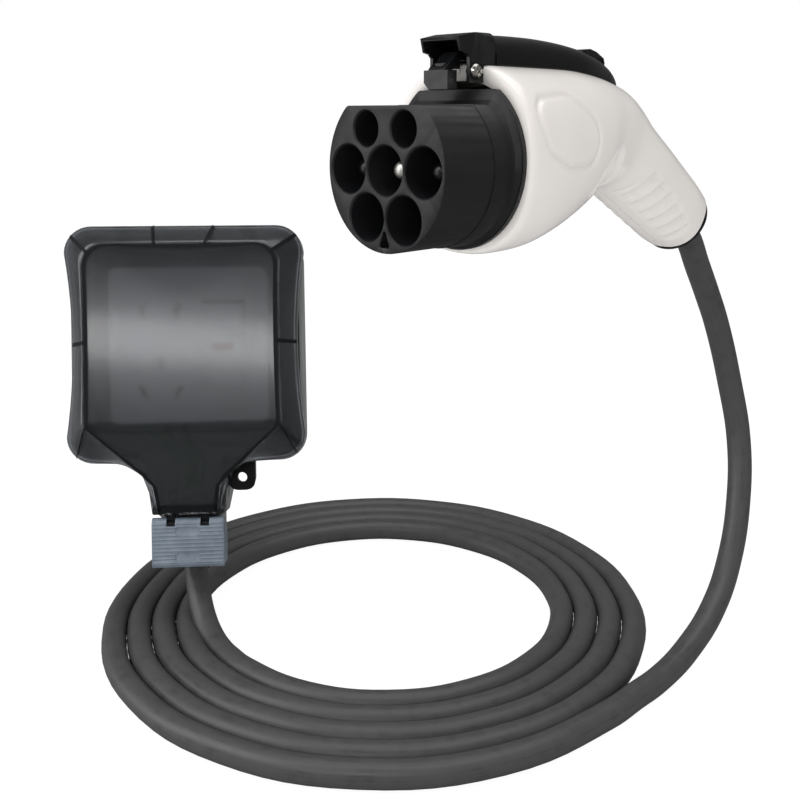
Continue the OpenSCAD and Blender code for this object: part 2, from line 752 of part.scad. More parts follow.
// A core from the lead's sheath to a pin's crimp barrel, offset across the sheath by shift
module core(p, shift) {
    y = nose_back + barrel_l + fit;
    back = tail[0] + nose_l;
    path = [[shift, back - 41.5, tail[1] + 24], [shift * 1.1, back - 57, -0.5],
        [shift * 1.4, back - 76, 6.5], [p[0] * 0.5 + shift * 0.6, back - 95, 4 + p[1] * 0.2],
        [p[0] * 0.85, back - 112, 1 + p[1] * 0.7], [p[0], y + 14, p[1]], [p[0], y + 6, p[1]],
        [p[0], y, p[1]]];
    tube(path, core_r, 6, [0, 0, 1]);
}

module core_wires() {
    color([0.1, 0.5, 0.25]) core(earth_at, 0);
    color([0.45, 0.25, 0.12]) core(power_at[0], -4.2);
    color([0.15, 0.3, 0.7]) core(power_at[1], 4.2);
}

// Resistor from the plug-present signal pin to the earth pin
module coding_resistor() {
    p = signal_at[1];
    reach = norm(p);
    from = earth_r + 0.3 + run;
    l = reach - from - signal_pin_r - 0.3 - run;
    color([0.2, 0.45, 0.6]) translate([0, nose_back + 7, 0]) rotate([0, atan2(p[0], p[1]), 0])
        translate([0, 0, from]) {
            cylinder(r = 0.4, h = l, $fn = 16);
            translate([0, 0, l / 2 - 3.5]) cylinder(r = 1.6, h = 7, $fn = 24);
        }
}

// Lead, from its cut sheath inside the handle down to the coil
module plug_lead() {
    out = [0, cos(tail[2]), -sin(tail[2])];
    start = [0, tail[0] + nose_l, tail[1]];
    path = concat([for (back = [sheath_back, 24]) start - out * back], LEAD);
    color([0.09, 0.09, 0.09]) tube(path, cord_d / 2, 12);
}

module coil() {
    color([0.1, 0.1, 0.1]) translate([coil_at[0], coil_at[1], coil_z]) rotate_extrude($fn = 128) {
        translate([coil_in, -cord_d / 2]) square([coil_out - coil_in, cord_d]);
        translate([coil_in, 0]) circle(cord_d / 2, $fn = 32);
        translate([coil_out, 0]) circle(cord_d / 2, $fn = 32);
    }
}

module box_lead() {
    v = [sin(box_lean) * -sin(box_turn), sin(box_lean) * cos(box_turn), cos(box_lean)];
    inside = DROP[0] + v * (neck_end - 3 - cable_in);
    color([0.09, 0.09, 0.09]) tube(concat([inside], DROP), cord_d / 2, 12, [0.3, 1, 0]);
}

module on_box() {
    translate(box_at) rotate([90 - box_lean, 0, box_turn]) children();
}

module soft_square(half_side, r) {
    for (x = [-1, 1], y = [-1, 1]) translate([x, y] * (half_side - r)) circle(r, $fn = 48);
    square([2 * half_side, 2 * (half_side - r)], center = true);
    square([2 * (half_side - r), 2 * half_side], center = true);
}

// One ring of the lid at a height: rounded square with its two long sides drawn in
function corner_arc(half_side, r, from) = [for (k = [0:6]) let (a = from + 15 * k, c = half_side - r)
    [c * sign(cos(from + 45)) + r * cos(a), c * sign(sin(from + 45)) + r * sin(a)]];
function side_arc(half_side, r, dip, m) = let (c = half_side - r, big = (c * c + dip * dip) / (2 * dip))
    [for (k = [1:7]) let (y = m * c * (k / 4 - 1), in = big - sqrt(big * big - y * y))
        [m * (half_side - dip + in), y]];
function lid_ring(half_side, r, dip, z) = [for (p = concat(corner_arc(half_side, r, 0),
    corner_arc(half_side, r, 90), side_arc(half_side, r, dip, -1), corner_arc(half_side, r, 180),
    corner_arc(half_side, r, 270), side_arc(half_side, r, dip, 1))) [p[0], p[1], z]];

// Outline of the neck below the box, seen from the front
module neck_outline(inset, end) {
    h = box_half;
    right = [[34, -h + 8], [34, -h], [28.6, -h - 2.5], [24.9, -h - 6], [22.2, -neck_top],
        [18.4, 21 - neck_end], [neck_half, 19 - neck_end], [neck_half, -end]];
    left = [for (i = [len(right) - 1:-1:0]) [-right[i][0] + inset, right[i][1]]];
    polygon(concat([for (p = right) p - [inset, 0]], left));
}

module eye(z, h) {
    translate([eye_at[0], eye_at[1], z]) {
        cylinder(r = eye_tab, h = h, $fn = 48);
        translate([-12, 0, 0]) cube([12, 14, h]);
        translate([-eye_tab, 0, 0]) cube([2 * eye_tab, 12, h]);
    }
}

module eye_hole(z, h) {
    translate([eye_at[0], eye_at[1], z]) cylinder(r = eye_r, h = h, $fn = 48);
}

module box_base() {
    side = box_half - 1;
    top = -part_gap;
    color([0.53, 0.53, 0.53]) on_box() difference() {
        union() {
            translate([0, 0, -base_depth]) linear_extrude(base_depth + top)
                soft_square(side, box_corner - 1);
            translate([0, 0, -neck_floor]) linear_extrude(neck_floor + top)
                neck_outline(0, neck_end);
            eye(-eye_t, eye_t + top);
            nibs();
            hinge_bosses();
        }
        difference() {
            translate([0, 0, -base_depth + box_wall]) linear_extrude(base_depth)
                soft_square(side - box_wall, box_corner - 1 - box_wall);
            posts();
            ledge(side);
        }
        difference() {
            translate([0, 0, -neck_floor + box_wall]) linear_extrude(neck_floor)
                neck_outline(box_wall, neck_end - 10);
            clamp_pad();
        }
        rotate([90, 0, 0]) translate([0, cable_z, neck_end - 20])
            cylinder(r = cord_d / 2 + 3 + fit, h = 40, $fn = 48);
        for (x = KNUCKLES) {
            translate([x - air, hinge_y - 3.4, hinge_z - 4]) cube([knuckle_w + 2 * air, 20, 20]);
            bar(x - 4 - air, hinge_y, hinge_z, hinge_pin_r + run, knuckle_w + 8 + 2 * air, 32);
        }
        eye_hole(-40, 60);
        for (p = corners(30.15, 30.15)) translate([p[0], p[1], -base_depth - 1])
            cylinder(r = 2.2, h = box_wall + 2, $fn = 24);
        for (p = plate_posts) translate([p[0], p[1], plate_back - 13])
            cylinder(r = 1.4 + run, h = 20, $fn = 24);
        for (m = [-1, 1]) translate([m * 11, -neck_mid, -neck_floor + 1])
            cylinder(r = saddle_screw_r + run, h = 10, $fn = 24);
    }
}

function corners(x, y) = [[-x, -y], [x, -y], [-x, y], [x, y]];

// Posts that carry the wall plate at its corners
module posts() {
    for (p = plate_posts) translate([p[0], p[1], -base_depth]) {
        cylinder(r = 4, h = base_depth + plate_back - fit, $fn = 32);
        translate([p[0] > 0 ? 0 : -16, -1.2, 0]) cube([16, 2.4, base_depth + plate_back - 8]);
    }
}

// Ledge round the inside that the gasket lies on
module ledge(side) {
    translate([0, 0, -base_depth]) linear_extrude(base_depth - 3) difference() {
        soft_square(side, box_corner - 1);
        soft_square(side - box_wall - 3, box_corner - 1 - box_wall - 3);
    }
}

module clamp_pad() {
    translate([-14, -neck_mid - 4, -neck_floor]) cube([28, 8, neck_floor + cable_z - cord_d / 2 - run]);
}

// Bosses beside each knuckle, under the base's top wall
module hinge_bosses() {
    for (x = KNUCKLES, m = [0, 1]) translate([m ? x + knuckle_w + air : x - 4 - air, 0, 0]) {
        bar(0, hinge_y, hinge_z, knuckle_r, 4, 32);
        translate([0, hinge_y - knuckle_r, hinge_z - 10]) cube([4, knuckle_r + 1.4, 10]);
    }
}

// Low nibs on the neck that the clip's cheeks snap past
module nibs() {
    for (m = [-1, 1]) translate([m * neck_half - 0.3, -neck_end + 3, -2.6]) cube([0.6, 6, 1.2]);
}

module box_gasket() {
    side = box_half - 1;
    color([0.1, 0.1, 0.1]) on_box() translate([0, 0, -3 + fit]) linear_extrude(3 - fit - part_gap)
        difference() {
            soft_square(side - box_wall - fit, box_corner - 1 - box_wall - fit);
            soft_square(side - box_wall - 2.4, box_corner - 1 - box_wall - 2.4);
            for (x = KNUCKLES) translate([x - 5, box_half - 12]) square([knuckle_w + 10, 20]);
            translate([-30, -box_half - 5]) square([60, 12]);
        }
}

// Cross-section of the lid's funnel at one height, in its own frame
function funnel(f, inset, open) =
    let (l = f[1] - inset, h = f[2] - inset, rim = rim_depth - inset * 0.4, top = lid_depth - f[3] - inset)
    [[l, f[0], -open], [l, f[0], rim], [h, f[0], top], [-h, f[0], top], [-l, f[0], rim], [-l, f[0], -open]];

// Outer form of the lid, or its hollow when inset by the wall and carried down by open
module lid_form(inset, open) {
    top = lid_depth - inset;
    rim = rim_depth - inset * 0.4;
    edge = box_half - inset;
    r = box_corner - inset;
    foot = len(FUNNEL) - 1;
    skin([lid_ring(edge - panel_inset, panel_corner, 0.6, top),
        lid_ring(edge - panel_inset + 1.2, panel_corner + 0.4, 0.8, top - 0.6),
        lid_ring(edge - 1.6, r, waist, rim + 2.2), lid_ring(edge - 0.5, r, waist, rim),
        lid_ring(edge, r, waist, -open)]);
    skin([for (i = [foot:-1:0]) funnel(FUNNEL[i] + [i == foot ? inset : 0, 0, 0, 0], inset, open)]);
}

// Part of the lid under the clip: a plain tray that ends in the clip's lugs
module lid_tongue(inset, open) {
    y = clip_y + clip_roll + air;
    translate([-neck_half + inset, y + inset, -open])
        cube([2 * (neck_half - inset), 10 - inset, clip_z - 1.4 - inset + open]);
}

module lid() {
    color([0.12, 0.12, 0.13, 0.75]) on_box() {
        difference() {
            union() {
                lid_form(0, 0);
                lid_tongue(0, 0);
                eye(0, eye_t);
                for (x = LUGS) clip_lug(x);
            }
            lid_form(box_wall, 1);
            lid_tongue(box_wall, 1);
            eye_hole(-40, 60);
            for (x = LUGS) bar(x - 10, clip_y, clip_z, clip_pin_r + run, 20, 24);
        }
        for (x = KNUCKLES) lid_knuckle(x);
    }
}

module lid_knuckle(x) {
    difference() {
        translate([x, 0, 0]) rotate([90, 0, 90]) linear_extrude(knuckle_w) {
            translate([hinge_y, hinge_z]) circle(knuckle_r, $fn = 40);
            translate([hinge_y - 1.2, hinge_z]) square([3.4, 9]);
        }
        bar(x - 10, hinge_y, hinge_z, hinge_pin_r + run, 30, 32);
    }
}

module clip_lug(x) {
    translate([x, 0, 0]) rotate([90, 0, 90]) linear_extrude(lug_w) {
        translate([clip_y, clip_z]) circle(3, $fn = 32);
        translate([clip_y, clip_z - 3]) square([8, 3.6]);
        translate([clip_y, clip_z - 3]) square([3, 3]);
    }
}

module hinge_pins() {
    color([0.75, 0.75, 0.75]) on_box() for (x = KNUCKLES)
        bar(x - 4, hinge_y, hinge_z, hinge_pin_r, knuckle_w + 8, 32);
}

// Side view of the clip: rolled top round its pin, plate, curved foot
module clip_side() {
    foot = clip_y + clip_roll - clip_l;
    translate([clip_y, clip_z]) circle(clip_roll, $fn = 48);
    polygon([[clip_y, clip_z + clip_roll], [clip_y - 2, clip_z + clip_roll - clip_t],
        [foot + 1, clip_z + clip_roll - clip_t], [foot, clip_z + clip_roll - clip_t + 1],
        [foot, clip_z + clip_roll - 1], [foot + 1.4, clip_z + clip_roll]]);
}

module lid_clip() {
    foot = clip_y + clip_roll - clip_l;
    front = clip_z + clip_roll;
    color([0.5, 0.56, 0.62]) on_box() difference() {
        union() {
            translate([-clip_half, 0, 0]) rotate([90, 0, 90]) linear_extrude(2 * clip_half) clip_side();
            for (m = [0, 1]) mirror([m, 0, 0]) translate([neck_half + air, 0, 0]) rotate([90, 0, 90])
                linear_extrude(clip_half - neck_half - air)
                    polygon([[clip_y + 2, front - 2], [clip_y - 3, -3], [foot + 4, -3.6],
                        [foot + 1, -1], [foot + 1, front - 1]]);
            for (i = [0:clip_ribs - 1]) bar(-clip_half + 0.6, foot + 2.6 + 2.05 * i, front - 0.25, 0.55,
                2 * clip_half - 1.2, 16);
        }
        bar(-clip_half - 5, clip_y, clip_z, clip_pin_r + run, 2 * clip_half + 10, 32);
        for (x = LUGS) {
            bar(x - air, clip_y, clip_z, 3 + air, lug_w + 2 * air, 32);
            translate([x - air, clip_y, clip_z - 8]) cube([lug_w + 2 * air, 10, 20]);
            translate([x - air, clip_y - 4, clip_z - 8]) cube([lug_w + 2 * air, 10, 8]);
        }
        for (y = [foot + 5.4, foot + 19]) translate([0, y, front - 0.4]) linear_extrude(4)
            soft_slot(13.5, 5);
    }
}

module soft_slot(l, w) {
    square([l - w, w], center = true);
    for (m = [-1, 1]) translate([m * (l - w) / 2, 0]) circle(w / 2, $fn = 32);
}

module clip_pin() {
    color([0.75, 0.75, 0.75]) on_box()
        bar(-clip_half + 0.3, clip_y, clip_z, clip_pin_r, 2 * clip_half - 0.6, 32);
}

module cable_grommet() {
    r = cord_d / 2;
    color([0.06, 0.06, 0.06]) on_box() rotate([90, 0, 0]) translate([0, cable_z, neck_end - 10])
        rotate_extrude($fn = 48)
            polygon([[r + run, 0], [r + 3, 0], [r + 3, 9], [r + 2.4, 10.4], [r + 0.8, 10.4], [r + run, 8]]);
}

// Saddle over the lead inside the neck
module box_cord_clamp() {
    r = cord_d / 2 + run;
    low = -cord_d / 2 - run;
    color([0.85, 0.84, 0.8]) on_box() difference() {
        translate([0, -neck_mid + 3.5, cable_z]) rotate([90, 0, 0]) linear_extrude(7) difference() {
            union() {
                circle(r + 2, $fn = 48);
                translate([-13.6, low + fit]) square([27.2, 2.4]);
            }
            circle(r, $fn = 48);
            translate([-r, low - 3]) square([2 * r, 3 - low]);
            translate([-20, low - 10]) square([40, 10]);
        }
        for (m = [-1, 1]) translate([m * 11, -neck_mid, cable_z + low - 1])
            cylinder(r = saddle_screw_r + run, h = 5, $fn = 24);
    }
}

module box_clamp_screws() {
    seat = cable_z - cord_d / 2 - run + fit + 2.4 + run;
    color([0.75, 0.75, 0.75]) on_box() for (m = [-1, 1]) translate([m * 11, -neck_mid, 0]) {
        translate([0, 0, -neck_floor + 1.6])
            cylinder(r = saddle_screw_r, h = seat + neck_floor - 1.6 + 0.5, $fn = 24);
        translate([0, 0, seat]) cylinder(r = 2, h = 1.2, $fn = 24);
    }
}

module socket_window(grow) {
    translate(socket_low - [grow, grow]) square(socket_high - socket_low + [2 * grow, 2 * grow]);
}

module rocker_window(grow) {
    translate(rocker_at) square(rocker_size + [2 * grow, 2 * grow], center = true);
}

module wall_plate() {
    h = plate_side / 2;
    color([0.9, 0.9, 0.88]) on_box() difference() {
        translate([0, 0, plate_back]) linear_extrude(plate_t) soft_square(h, 5);
        difference() {
            translate([0, 0, plate_back - 1]) linear_extrude(plate_t - 1.2) soft_square(h - 2.2, 3.4);
            for (p = plate_posts) translate([p[0], p[1], plate_back - 2])
                cylinder(r = 2.6, h = plate_t, $fn = 32);
        }
        for (p = plate_posts) translate([p[0], p[1], plate_back - 1])
            cylinder(r = 1.4 + run, h = plate_t - 0.3, $fn = 24);
        translate([0, 0, plate_back - 1]) linear_extrude(plate_t + 2) {
            socket_window(fit);
            rocker_window(0.6);
        }
    }
}

module slot_hole(s, grow) {
    translate([s[0], s[1]]) rotate(s[2]) square([2.4 + grow, 7.6 + grow], center = true);
}

module socket_insert() {
    color([0.93, 0.93, 0.91]) on_box() difference() {
        translate([0, 0, plate_back]) linear_extrude(plate_t + 0.4) socket_window(0);
        translate([0, 0, plate_back - 1]) linear_extrude(plate_t + 4) for (s = SLOTS) slot_hole(s, 0);
        translate([0, 0, plate_back - 1]) linear_extrude(plate_t - 1.6) for (s = SLOTS)
            translate([s[0], s[1]]) rotate(s[2]) square([6, 11], center = true);
    }
}

// Sprung brass contact behind each slot: two leaves joined at the back
module socket_contacts() {
    color([0.8, 0.65, 0.3]) on_box() for (s = SLOTS)
        translate([s[0], s[1], plate_back - 8]) rotate([0, 0, s[2]]) difference() {
            translate([-1.9, -3.4, 0]) cube([3.8, 6.8, 11]);
            translate([-1.1, -4, 1.2]) cube([2.2, 8, 20]);
        }
}

module mechanism_frame() {
    h = plate_side / 2;
    back = plate_back - 18;
    color([0.2, 0.22, 0.25]) on_box() difference() {
        union() {
            translate([0, 0, back]) linear_extrude(18 - fit) square([64, 70], center = true);
            translate([-h + 2.6, -8, plate_back - 2 - fit]) cube([2 * h - 5.2, 16, 2]);
        }
        for (s = SLOTS) translate([s[0], s[1], plate_back - 8 - fit]) rotate([0, 0, s[2]])
            translate([-2.6, -4.2, 0]) cube([5.2, 8.4, 20]);
        translate([rocker_at[0] - rocker_size[0] / 2 - 1, -rocker_size[1] / 2 - 1, plate_back - 9])
            cube([rocker_size[0] + 2, rocker_size[1] + 2, 20]);
        for (x = CORE_BORES) translate([x, -30, back + 8]) rotate([90, 0, 0])
            cylinder(r = core_r + fit, h = 20, $fn = 24);
        for (m = [-1, 1]) translate([m * 37.5, 0, plate_back - 6]) cylinder(r = 1.7, h = 10, $fn = 24);
    }
}

module tilted() {
    on_box() translate([rocker_at[0], rocker_at[1], rocker_axis]) rotate([rocker_tilt, 0, 0]) children();
}

module switch_rocker() {
    face = plate_front + 1.6 - rocker_axis;
    l = rocker_size[1] / 2;
    w = rocker_size[0];
    color([0.93, 0.93, 0.91]) tilted() difference() {
        union() {
            translate([-w / 2, 0, 0]) rotate([90, 0, 90]) linear_extrude(w)
                polygon([[-l, 1.5], [l, 1.5], [l - 0.7, face], [l - 1.6, face + 0.6], [0, face - 0.4],
                    [-l + 1.6, face + 0.6], [-l + 0.7, face]]);
            bar(-w / 2, 0, 0, 2.4, w, 32);
        }
        translate([-mark_size[0] / 2, -mark_size[1] / 2, face - 1.2])
            cube([mark_size[0], mark_size[1], 4]);
    }
}

module rocker_mark() {
    face = plate_front + 1.6 - rocker_axis;
    color([0.75, 0.25, 0.2]) tilted()
        translate([-mark_size[0] / 2 + run, -mark_size[1] / 2 + run, face - 1.2 + run])
            cube([mark_size[0] - 2 * run, mark_size[1] - 2 * run, 1]);
}

module plate_screws() {
    color([0.75, 0.75, 0.75]) on_box() for (p = plate_posts)
        translate([p[0], p[1], plate_back - 10]) cylinder(r = 1.4, h = 10 + plate_t - 1.4, $fn = 24);
}

// A core from the lead's sheath, offset across it by shift, to its bore in the mechanism at x
module box_core(x, shift) {
    z = plate_back - 10;
    tube([[shift, -cable_in + 0.2, cable_z], [shift, -cable_in + 6, cable_z - 0.5],
        [shift * 1.6, -66, cable_z - 3], [x * 0.6, -56, z + 2], [x, -48, z], [x, -40, z],
        [x, -31, z]], core_r - 0.3, 6, [0, 0, 1]);
}

module box_wires() {
    color([0.45, 0.25, 0.12]) on_box() box_core(CORE_BORES[0], -3.6);
    color([0.1, 0.5, 0.25]) on_box() box_core(CORE_BORES[1], 0);
    color([0.15, 0.3, 0.7]) on_box() box_core(CORE_BORES[2], 3.6);
}

nose();
nose_gasket();
earth_pin();
power_pins();
power_pin_caps();
signal_pins();
shell_right();
shell_left();
shell_screws();
top_cover();
latch_hood();
hood_screws();
latch_lever();
release_button();
pivot_pin();
latch_spring();
handle_cap();
cord_clamp();
clamp_screws();
core_wires();
coding_resistor();
plug_lead();
coil();
box_lead();
box_base();
box_gasket();
lid();
hinge_pins();
lid_clip();
clip_pin();
cable_grommet();
box_cord_clamp();
box_clamp_screws();
wall_plate();
socket_insert();
socket_contacts();
mechanism_frame();
switch_rocker();
rocker_mark();
plate_screws();
box_wires();
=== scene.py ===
import json
import math

import bmesh
import bpy
import numpy as np
from mathutils import Matrix, Vector

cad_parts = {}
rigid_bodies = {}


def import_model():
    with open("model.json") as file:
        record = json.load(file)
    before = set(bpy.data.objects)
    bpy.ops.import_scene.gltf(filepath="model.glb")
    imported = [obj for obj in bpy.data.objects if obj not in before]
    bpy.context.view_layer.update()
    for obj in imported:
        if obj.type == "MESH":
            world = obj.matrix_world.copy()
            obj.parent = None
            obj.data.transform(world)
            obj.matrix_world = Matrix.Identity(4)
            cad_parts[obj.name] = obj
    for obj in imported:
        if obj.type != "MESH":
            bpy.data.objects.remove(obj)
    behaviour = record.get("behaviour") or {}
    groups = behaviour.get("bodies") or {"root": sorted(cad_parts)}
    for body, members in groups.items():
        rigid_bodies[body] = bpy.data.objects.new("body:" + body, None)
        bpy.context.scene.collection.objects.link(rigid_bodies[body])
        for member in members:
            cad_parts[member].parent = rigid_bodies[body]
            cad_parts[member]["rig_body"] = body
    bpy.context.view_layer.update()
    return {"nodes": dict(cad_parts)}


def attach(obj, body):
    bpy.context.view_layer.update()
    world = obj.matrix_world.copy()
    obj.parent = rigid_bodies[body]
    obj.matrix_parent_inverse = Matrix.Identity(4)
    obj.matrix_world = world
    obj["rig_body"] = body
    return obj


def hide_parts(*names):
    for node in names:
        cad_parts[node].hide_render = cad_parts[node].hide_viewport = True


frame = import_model()

MM = 0.001

# Places of the plug's and the box's own frames, as the CAD has them. Pieces are modelled in millimetres
# there. The plug's frame starts at the back of its nose flange. The box's has x across the lid, y up
# along it and z out through it.
NOSE_L = 40
BOX_AT = Vector((-195, 39, -102))
BOX_TURN = 49
BOX_TIP = 17
PLUG = Matrix.Scale(MM, 4) @ Matrix.Translation((0, NOSE_L, 0))
BOX = (Matrix.Translation(BOX_AT * MM) @ Matrix.Rotation(math.radians(BOX_TURN), 4, "Z")
       @ Matrix.Rotation(math.radians(90 - BOX_TIP), 4, "X") @ Matrix.Scale(MM, 4))
FLOOR_Z = -257


# Camera, at the photograph's viewing angle: place in millimetres, turn in degrees

CAMERA_AT = Vector((257.8, -249.7, 19.7))
CAMERA_TURN = (73.71, 0, 45)
CAMERA_LENS = 44.1


def make_camera():
    data = bpy.data.cameras.new("camera")
    data.lens = CAMERA_LENS
    camera = bpy.data.objects.new("camera", data)
    camera.location = CAMERA_AT * MM
    camera.rotation_euler = [math.radians(turn) for turn in CAMERA_TURN]
    bpy.context.scene.collection.objects.link(camera)
    bpy.context.scene.camera = camera


make_camera()


# Materials. Each is named for what the real piece is made of and how its surface was made.

def linear(code):
    """An sRGB hex colour as the linear values that a shader takes."""
    parts = [int(code[i:i + 2], 16) / 255 for i in (1, 3, 5)]
    return [c / 12.92 if c <= 0.04045 else ((c + 0.055) / 1.055) ** 2.4 for c in parts] + [1]


def add(tree, kind, settings=None, **inputs):
    """Adds a node. Inputs are named as their sockets with _ for a space, or in0, in1 by number."""
    made = tree.nodes.new(kind)
    for name, value in (settings or {}).items():
        setattr(made, name, value)
    for name, value in inputs.items():
        key = int(name[2:]) if name[:2] == "in" and name[2:].isdigit() else name.replace("_", " ")
        if isinstance(value, bpy.types.NodeSocket):
            tree.links.new(value, made.inputs[key])
        else:
            made.inputs[key].default_value = value
    return made


def finish(name, colour, **values):
    """A Principled material of one colour; returns it with its tree and shader for its patterns."""
    material = bpy.data.materials.new(name)
    material.use_nodes = True
    tree = material.node_tree
    skin = tree.nodes["Principled BSDF"]
    skin.inputs["Base Color"].default_value = linear(colour)
    for socket, value in values.items():
        skin.inputs[socket.replace("_", " ")].default_value = value
    return material, tree, skin


def patches(tree, size, detail):
    """Soft patches of a size in millimetres, fixed to the piece, as a value from 0 to 1."""
    at = add(tree, "ShaderNodeTexCoord")
    cloud = add(tree, "ShaderNodeTexNoise", Vector=at.outputs["Object"], Scale=1 / (size * MM),
                Detail=detail)
    return cloud.outputs[0]


def grain(tree, skin, size, depth, strength=0.6):
    """Relief of a moulded surface: bumps of one size and depth, in millimetres."""
    relief = add(tree, "ShaderNodeBump", Height=patches(tree, size, 2), Distance=depth * MM,
                 Strength=strength)
    tree.links.new(relief.outputs[0], skin.inputs["Normal"])


def drifting(tree, skin, socket, value, low, high):
    """Lets an input of the shader follow a pattern's value, between low and high."""
    scaled = add(tree, "ShaderNodeMapRange", in0=value, in1=0.3, in2=0.7, in3=low, in4=high)
    tree.links.new(scaled.outputs[0], skin.inputs[socket])


def patchy(tree, skin, socket, size, low, high):
    """Lets an input drift between low and high in soft patches of a size in millimetres."""
    drifting(tree, skin, socket, patches(tree, size, 3), low, high)


def shaded(tree, skin, value, low, first, high, second):
    """Gives the first shade where a pattern's value is low, the second where it is high."""
    ramp = add(tree, "ShaderNodeValToRGB", in0=value)
    for stop, place, code in zip(ramp.color_ramp.elements, (low, high), (first, second)):
        stop.position = place
        stop.color = linear(code)
    tree.links.new(ramp.outputs[0], skin.inputs["Base Color"])


def tinted(tree, skin, size, first, second):
    """Lets the colour drift between two shades in soft patches of a size in millimetres."""
    shaded(tree, skin, patches(tree, size, 3), 0.35, first, 0.65, second)


def white_shell():
    # ABS from a polished tool: clean gloss, a little warm, with faint flow shading
    material, tree, skin = finish("abs_white_polished", "#f2eeea", Roughness=0.16, IOR=1.53)
    tinted(tree, skin, 60, "#f5f1ed", "#efeae5")
    patchy(tree, skin, "Roughness", 18, 0.13, 0.2)
    grain(tree, skin, 9, 0.03, strength=0.35)
    return material


def black_nose():
    # Glass-filled PBT from a spark-eroded tool: fine dull grain, grey where light strikes flat
    material, tree, skin = finish("pbt_black_eroded", "#111215", Roughness=0.5, IOR=1.55)
    tinted(tree, skin, 25, "#101114", "#141518")
    patchy(tree, skin, "Roughness", 12, 0.42, 0.55)
    grain(tree, skin, 0.35, 0.03)
    return material


def black_gloss():
    # ABS polished to a black mirror, with a trace of swirl from wiping
    material, tree, skin = finish("abs_black_polished", "#08080a", Roughness=0.12, IOR=1.53)
    patchy(tree, skin, "Roughness", 6, 0.09, 0.18)
    grain(tree, skin, 14, 0.04, strength=0.3)
    return material


def black_satin():
    # ABS from a bead-blasted tool: the latch parts, between matt and gloss
    material, tree, skin = finish("abs_black_blasted", "#101113", Roughness=0.32, IOR=1.53)
    patchy(tree, skin, "Roughness", 5, 0.26, 0.4)
    grain(tree, skin, 0.5, 0.02)
    return material


def rubber_jacket():
    # Extruded rubber sheath: dull dark grey, drawn lines along its length, a dusty sheen
    material, tree, skin = finish("rubber_sheath_extruded", "#404040", Roughness=0.42, IOR=1.5)
    at = add(tree, "ShaderNodeTexCoord")
    stretched = add(tree, "ShaderNodeMapping", Vector=at.outputs["UV"], Scale=(3, 90, 1))
    drawn = add(tree, "ShaderNodeTexNoise", Vector=stretched.outputs[0], Scale=1, Detail=4)
    mottle = patches(tree, 7, 4)
    both = add(tree, "ShaderNodeMath", {"operation": "ADD"}, in0=drawn.outputs[0], in1=mottle)
    shaded(tree, skin, both.outputs[0], 0.6, "#383838", 1, "#484848")
    drifting(tree, skin, "Roughness", mottle, 0.34, 0.48)
    grain(tree, skin, 0.6, 0.03, strength=0.5)
    return material


def smoked_lid():
    # Tinted polycarbonate: polished outside and frosted inside, so what lies behind it blurs
    material, tree, skin = finish("polycarbonate_smoked", "#7d8187", Roughness=0.22, IOR=1.45,
                                  Transmission_Weight=1, Coat_Weight=0.5, Coat_Roughness=0.1)
    patchy(tree, skin, "Roughness", 3, 0.19, 0.25)
    return material


def smoked_rib():
    # The same tinted polycarbonate where ribs make it thick: nearly opaque
    material, tree, skin = finish("polycarbonate_smoked_thick", "#101215", Roughness=0.55, IOR=1.3)
    grain(tree, skin, 2, 0.01)
    return material


def grey_base():
    # Light grey ABS of the box base, satin from an etched tool
    material, tree, skin = finish("abs_grey_etched", "#868787", Roughness=0.4, IOR=1.53)
    tinted(tree, skin, 30, "#828383", "#8a8b8b")
    grain(tree, skin, 0.6, 0.03)
    return material


def slate_clip():
    # Blue-grey ABS of the clip, satin, a little paler where fingers rub
    material, tree, skin = finish("abs_slate_blue", "#75808c", Roughness=0.36, IOR=1.53)
    tinted(tree, skin, 6, "#6f7a86", "#7c8793")
    grain(tree, skin, 0.6, 0.02)
    return material


def gasket_rubber():
    # EPDM rubber: dead matt, slightly dusty
    material, tree, skin = finish("epdm_rubber_moulded", "#18191a", Roughness=0.75, IOR=1.5)
    tinted(tree, skin, 4, "#161718", "#1e1f20")
    grain(tree, skin, 0.5, 0.05)
    return material


def silver_pin():
    # Turned copper, silver plated: bright, with fine turning marks
    material, tree, skin = finish("copper_silver_plated", "#f4f2ec", Roughness=0.42, Metallic=1)
    patchy(tree, skin, "Roughness", 2, 0.36, 0.48)
    grain(tree, skin, 0.8, 0.01)
    return material


def nickel_pin():
    # Turned brass, nickel plated: slightly yellow white
    material, tree, skin = finish("brass_nickel_plated", "#d8d3c6", Roughness=0.2, Metallic=1)
    patchy(tree, skin, "Roughness", 2, 0.14, 0.28)
    grain(tree, skin, 0.8, 0.01)
    return material


def zinc_screw():
    # Zinc-plated steel: bluish, softly bright, uneven passivation
    material, tree, skin = finish("steel_zinc_plated", "#b9bcc0", Roughness=0.3, Metallic=1)
    tinted(tree, skin, 1.5, "#aeb2b8", "#c6c7c6")
    patchy(tree, skin, "Roughness", 1, 0.22, 0.4)
    return material


def stainless_screw():
    # Cold-headed stainless steel: bright, with small wear round the recess
    material, tree, skin = finish("stainless_cold_headed", "#d2cfc9", Roughness=0.22, Metallic=1)
    patchy(tree, skin, "Roughness", 0.8, 0.14, 0.36)
    grain(tree, skin, 0.6, 0.03)
    return material


def spring_wire():
    # Drawn music wire: dark bright steel
    material, tree, skin = finish("music_wire_drawn", "#9a9a9c", Roughness=0.28, Metallic=1)
    patchy(tree, skin, "Roughness", 1, 0.2, 0.36)
    return material


def nylon_black():
    # Moulded nylon: soft satin black
    material, tree, skin = finish("nylon_black_moulded", "#0d0d0e", Roughness=0.3, IOR=1.53)
    grain(tree, skin, 0.4, 0.02)
    return material


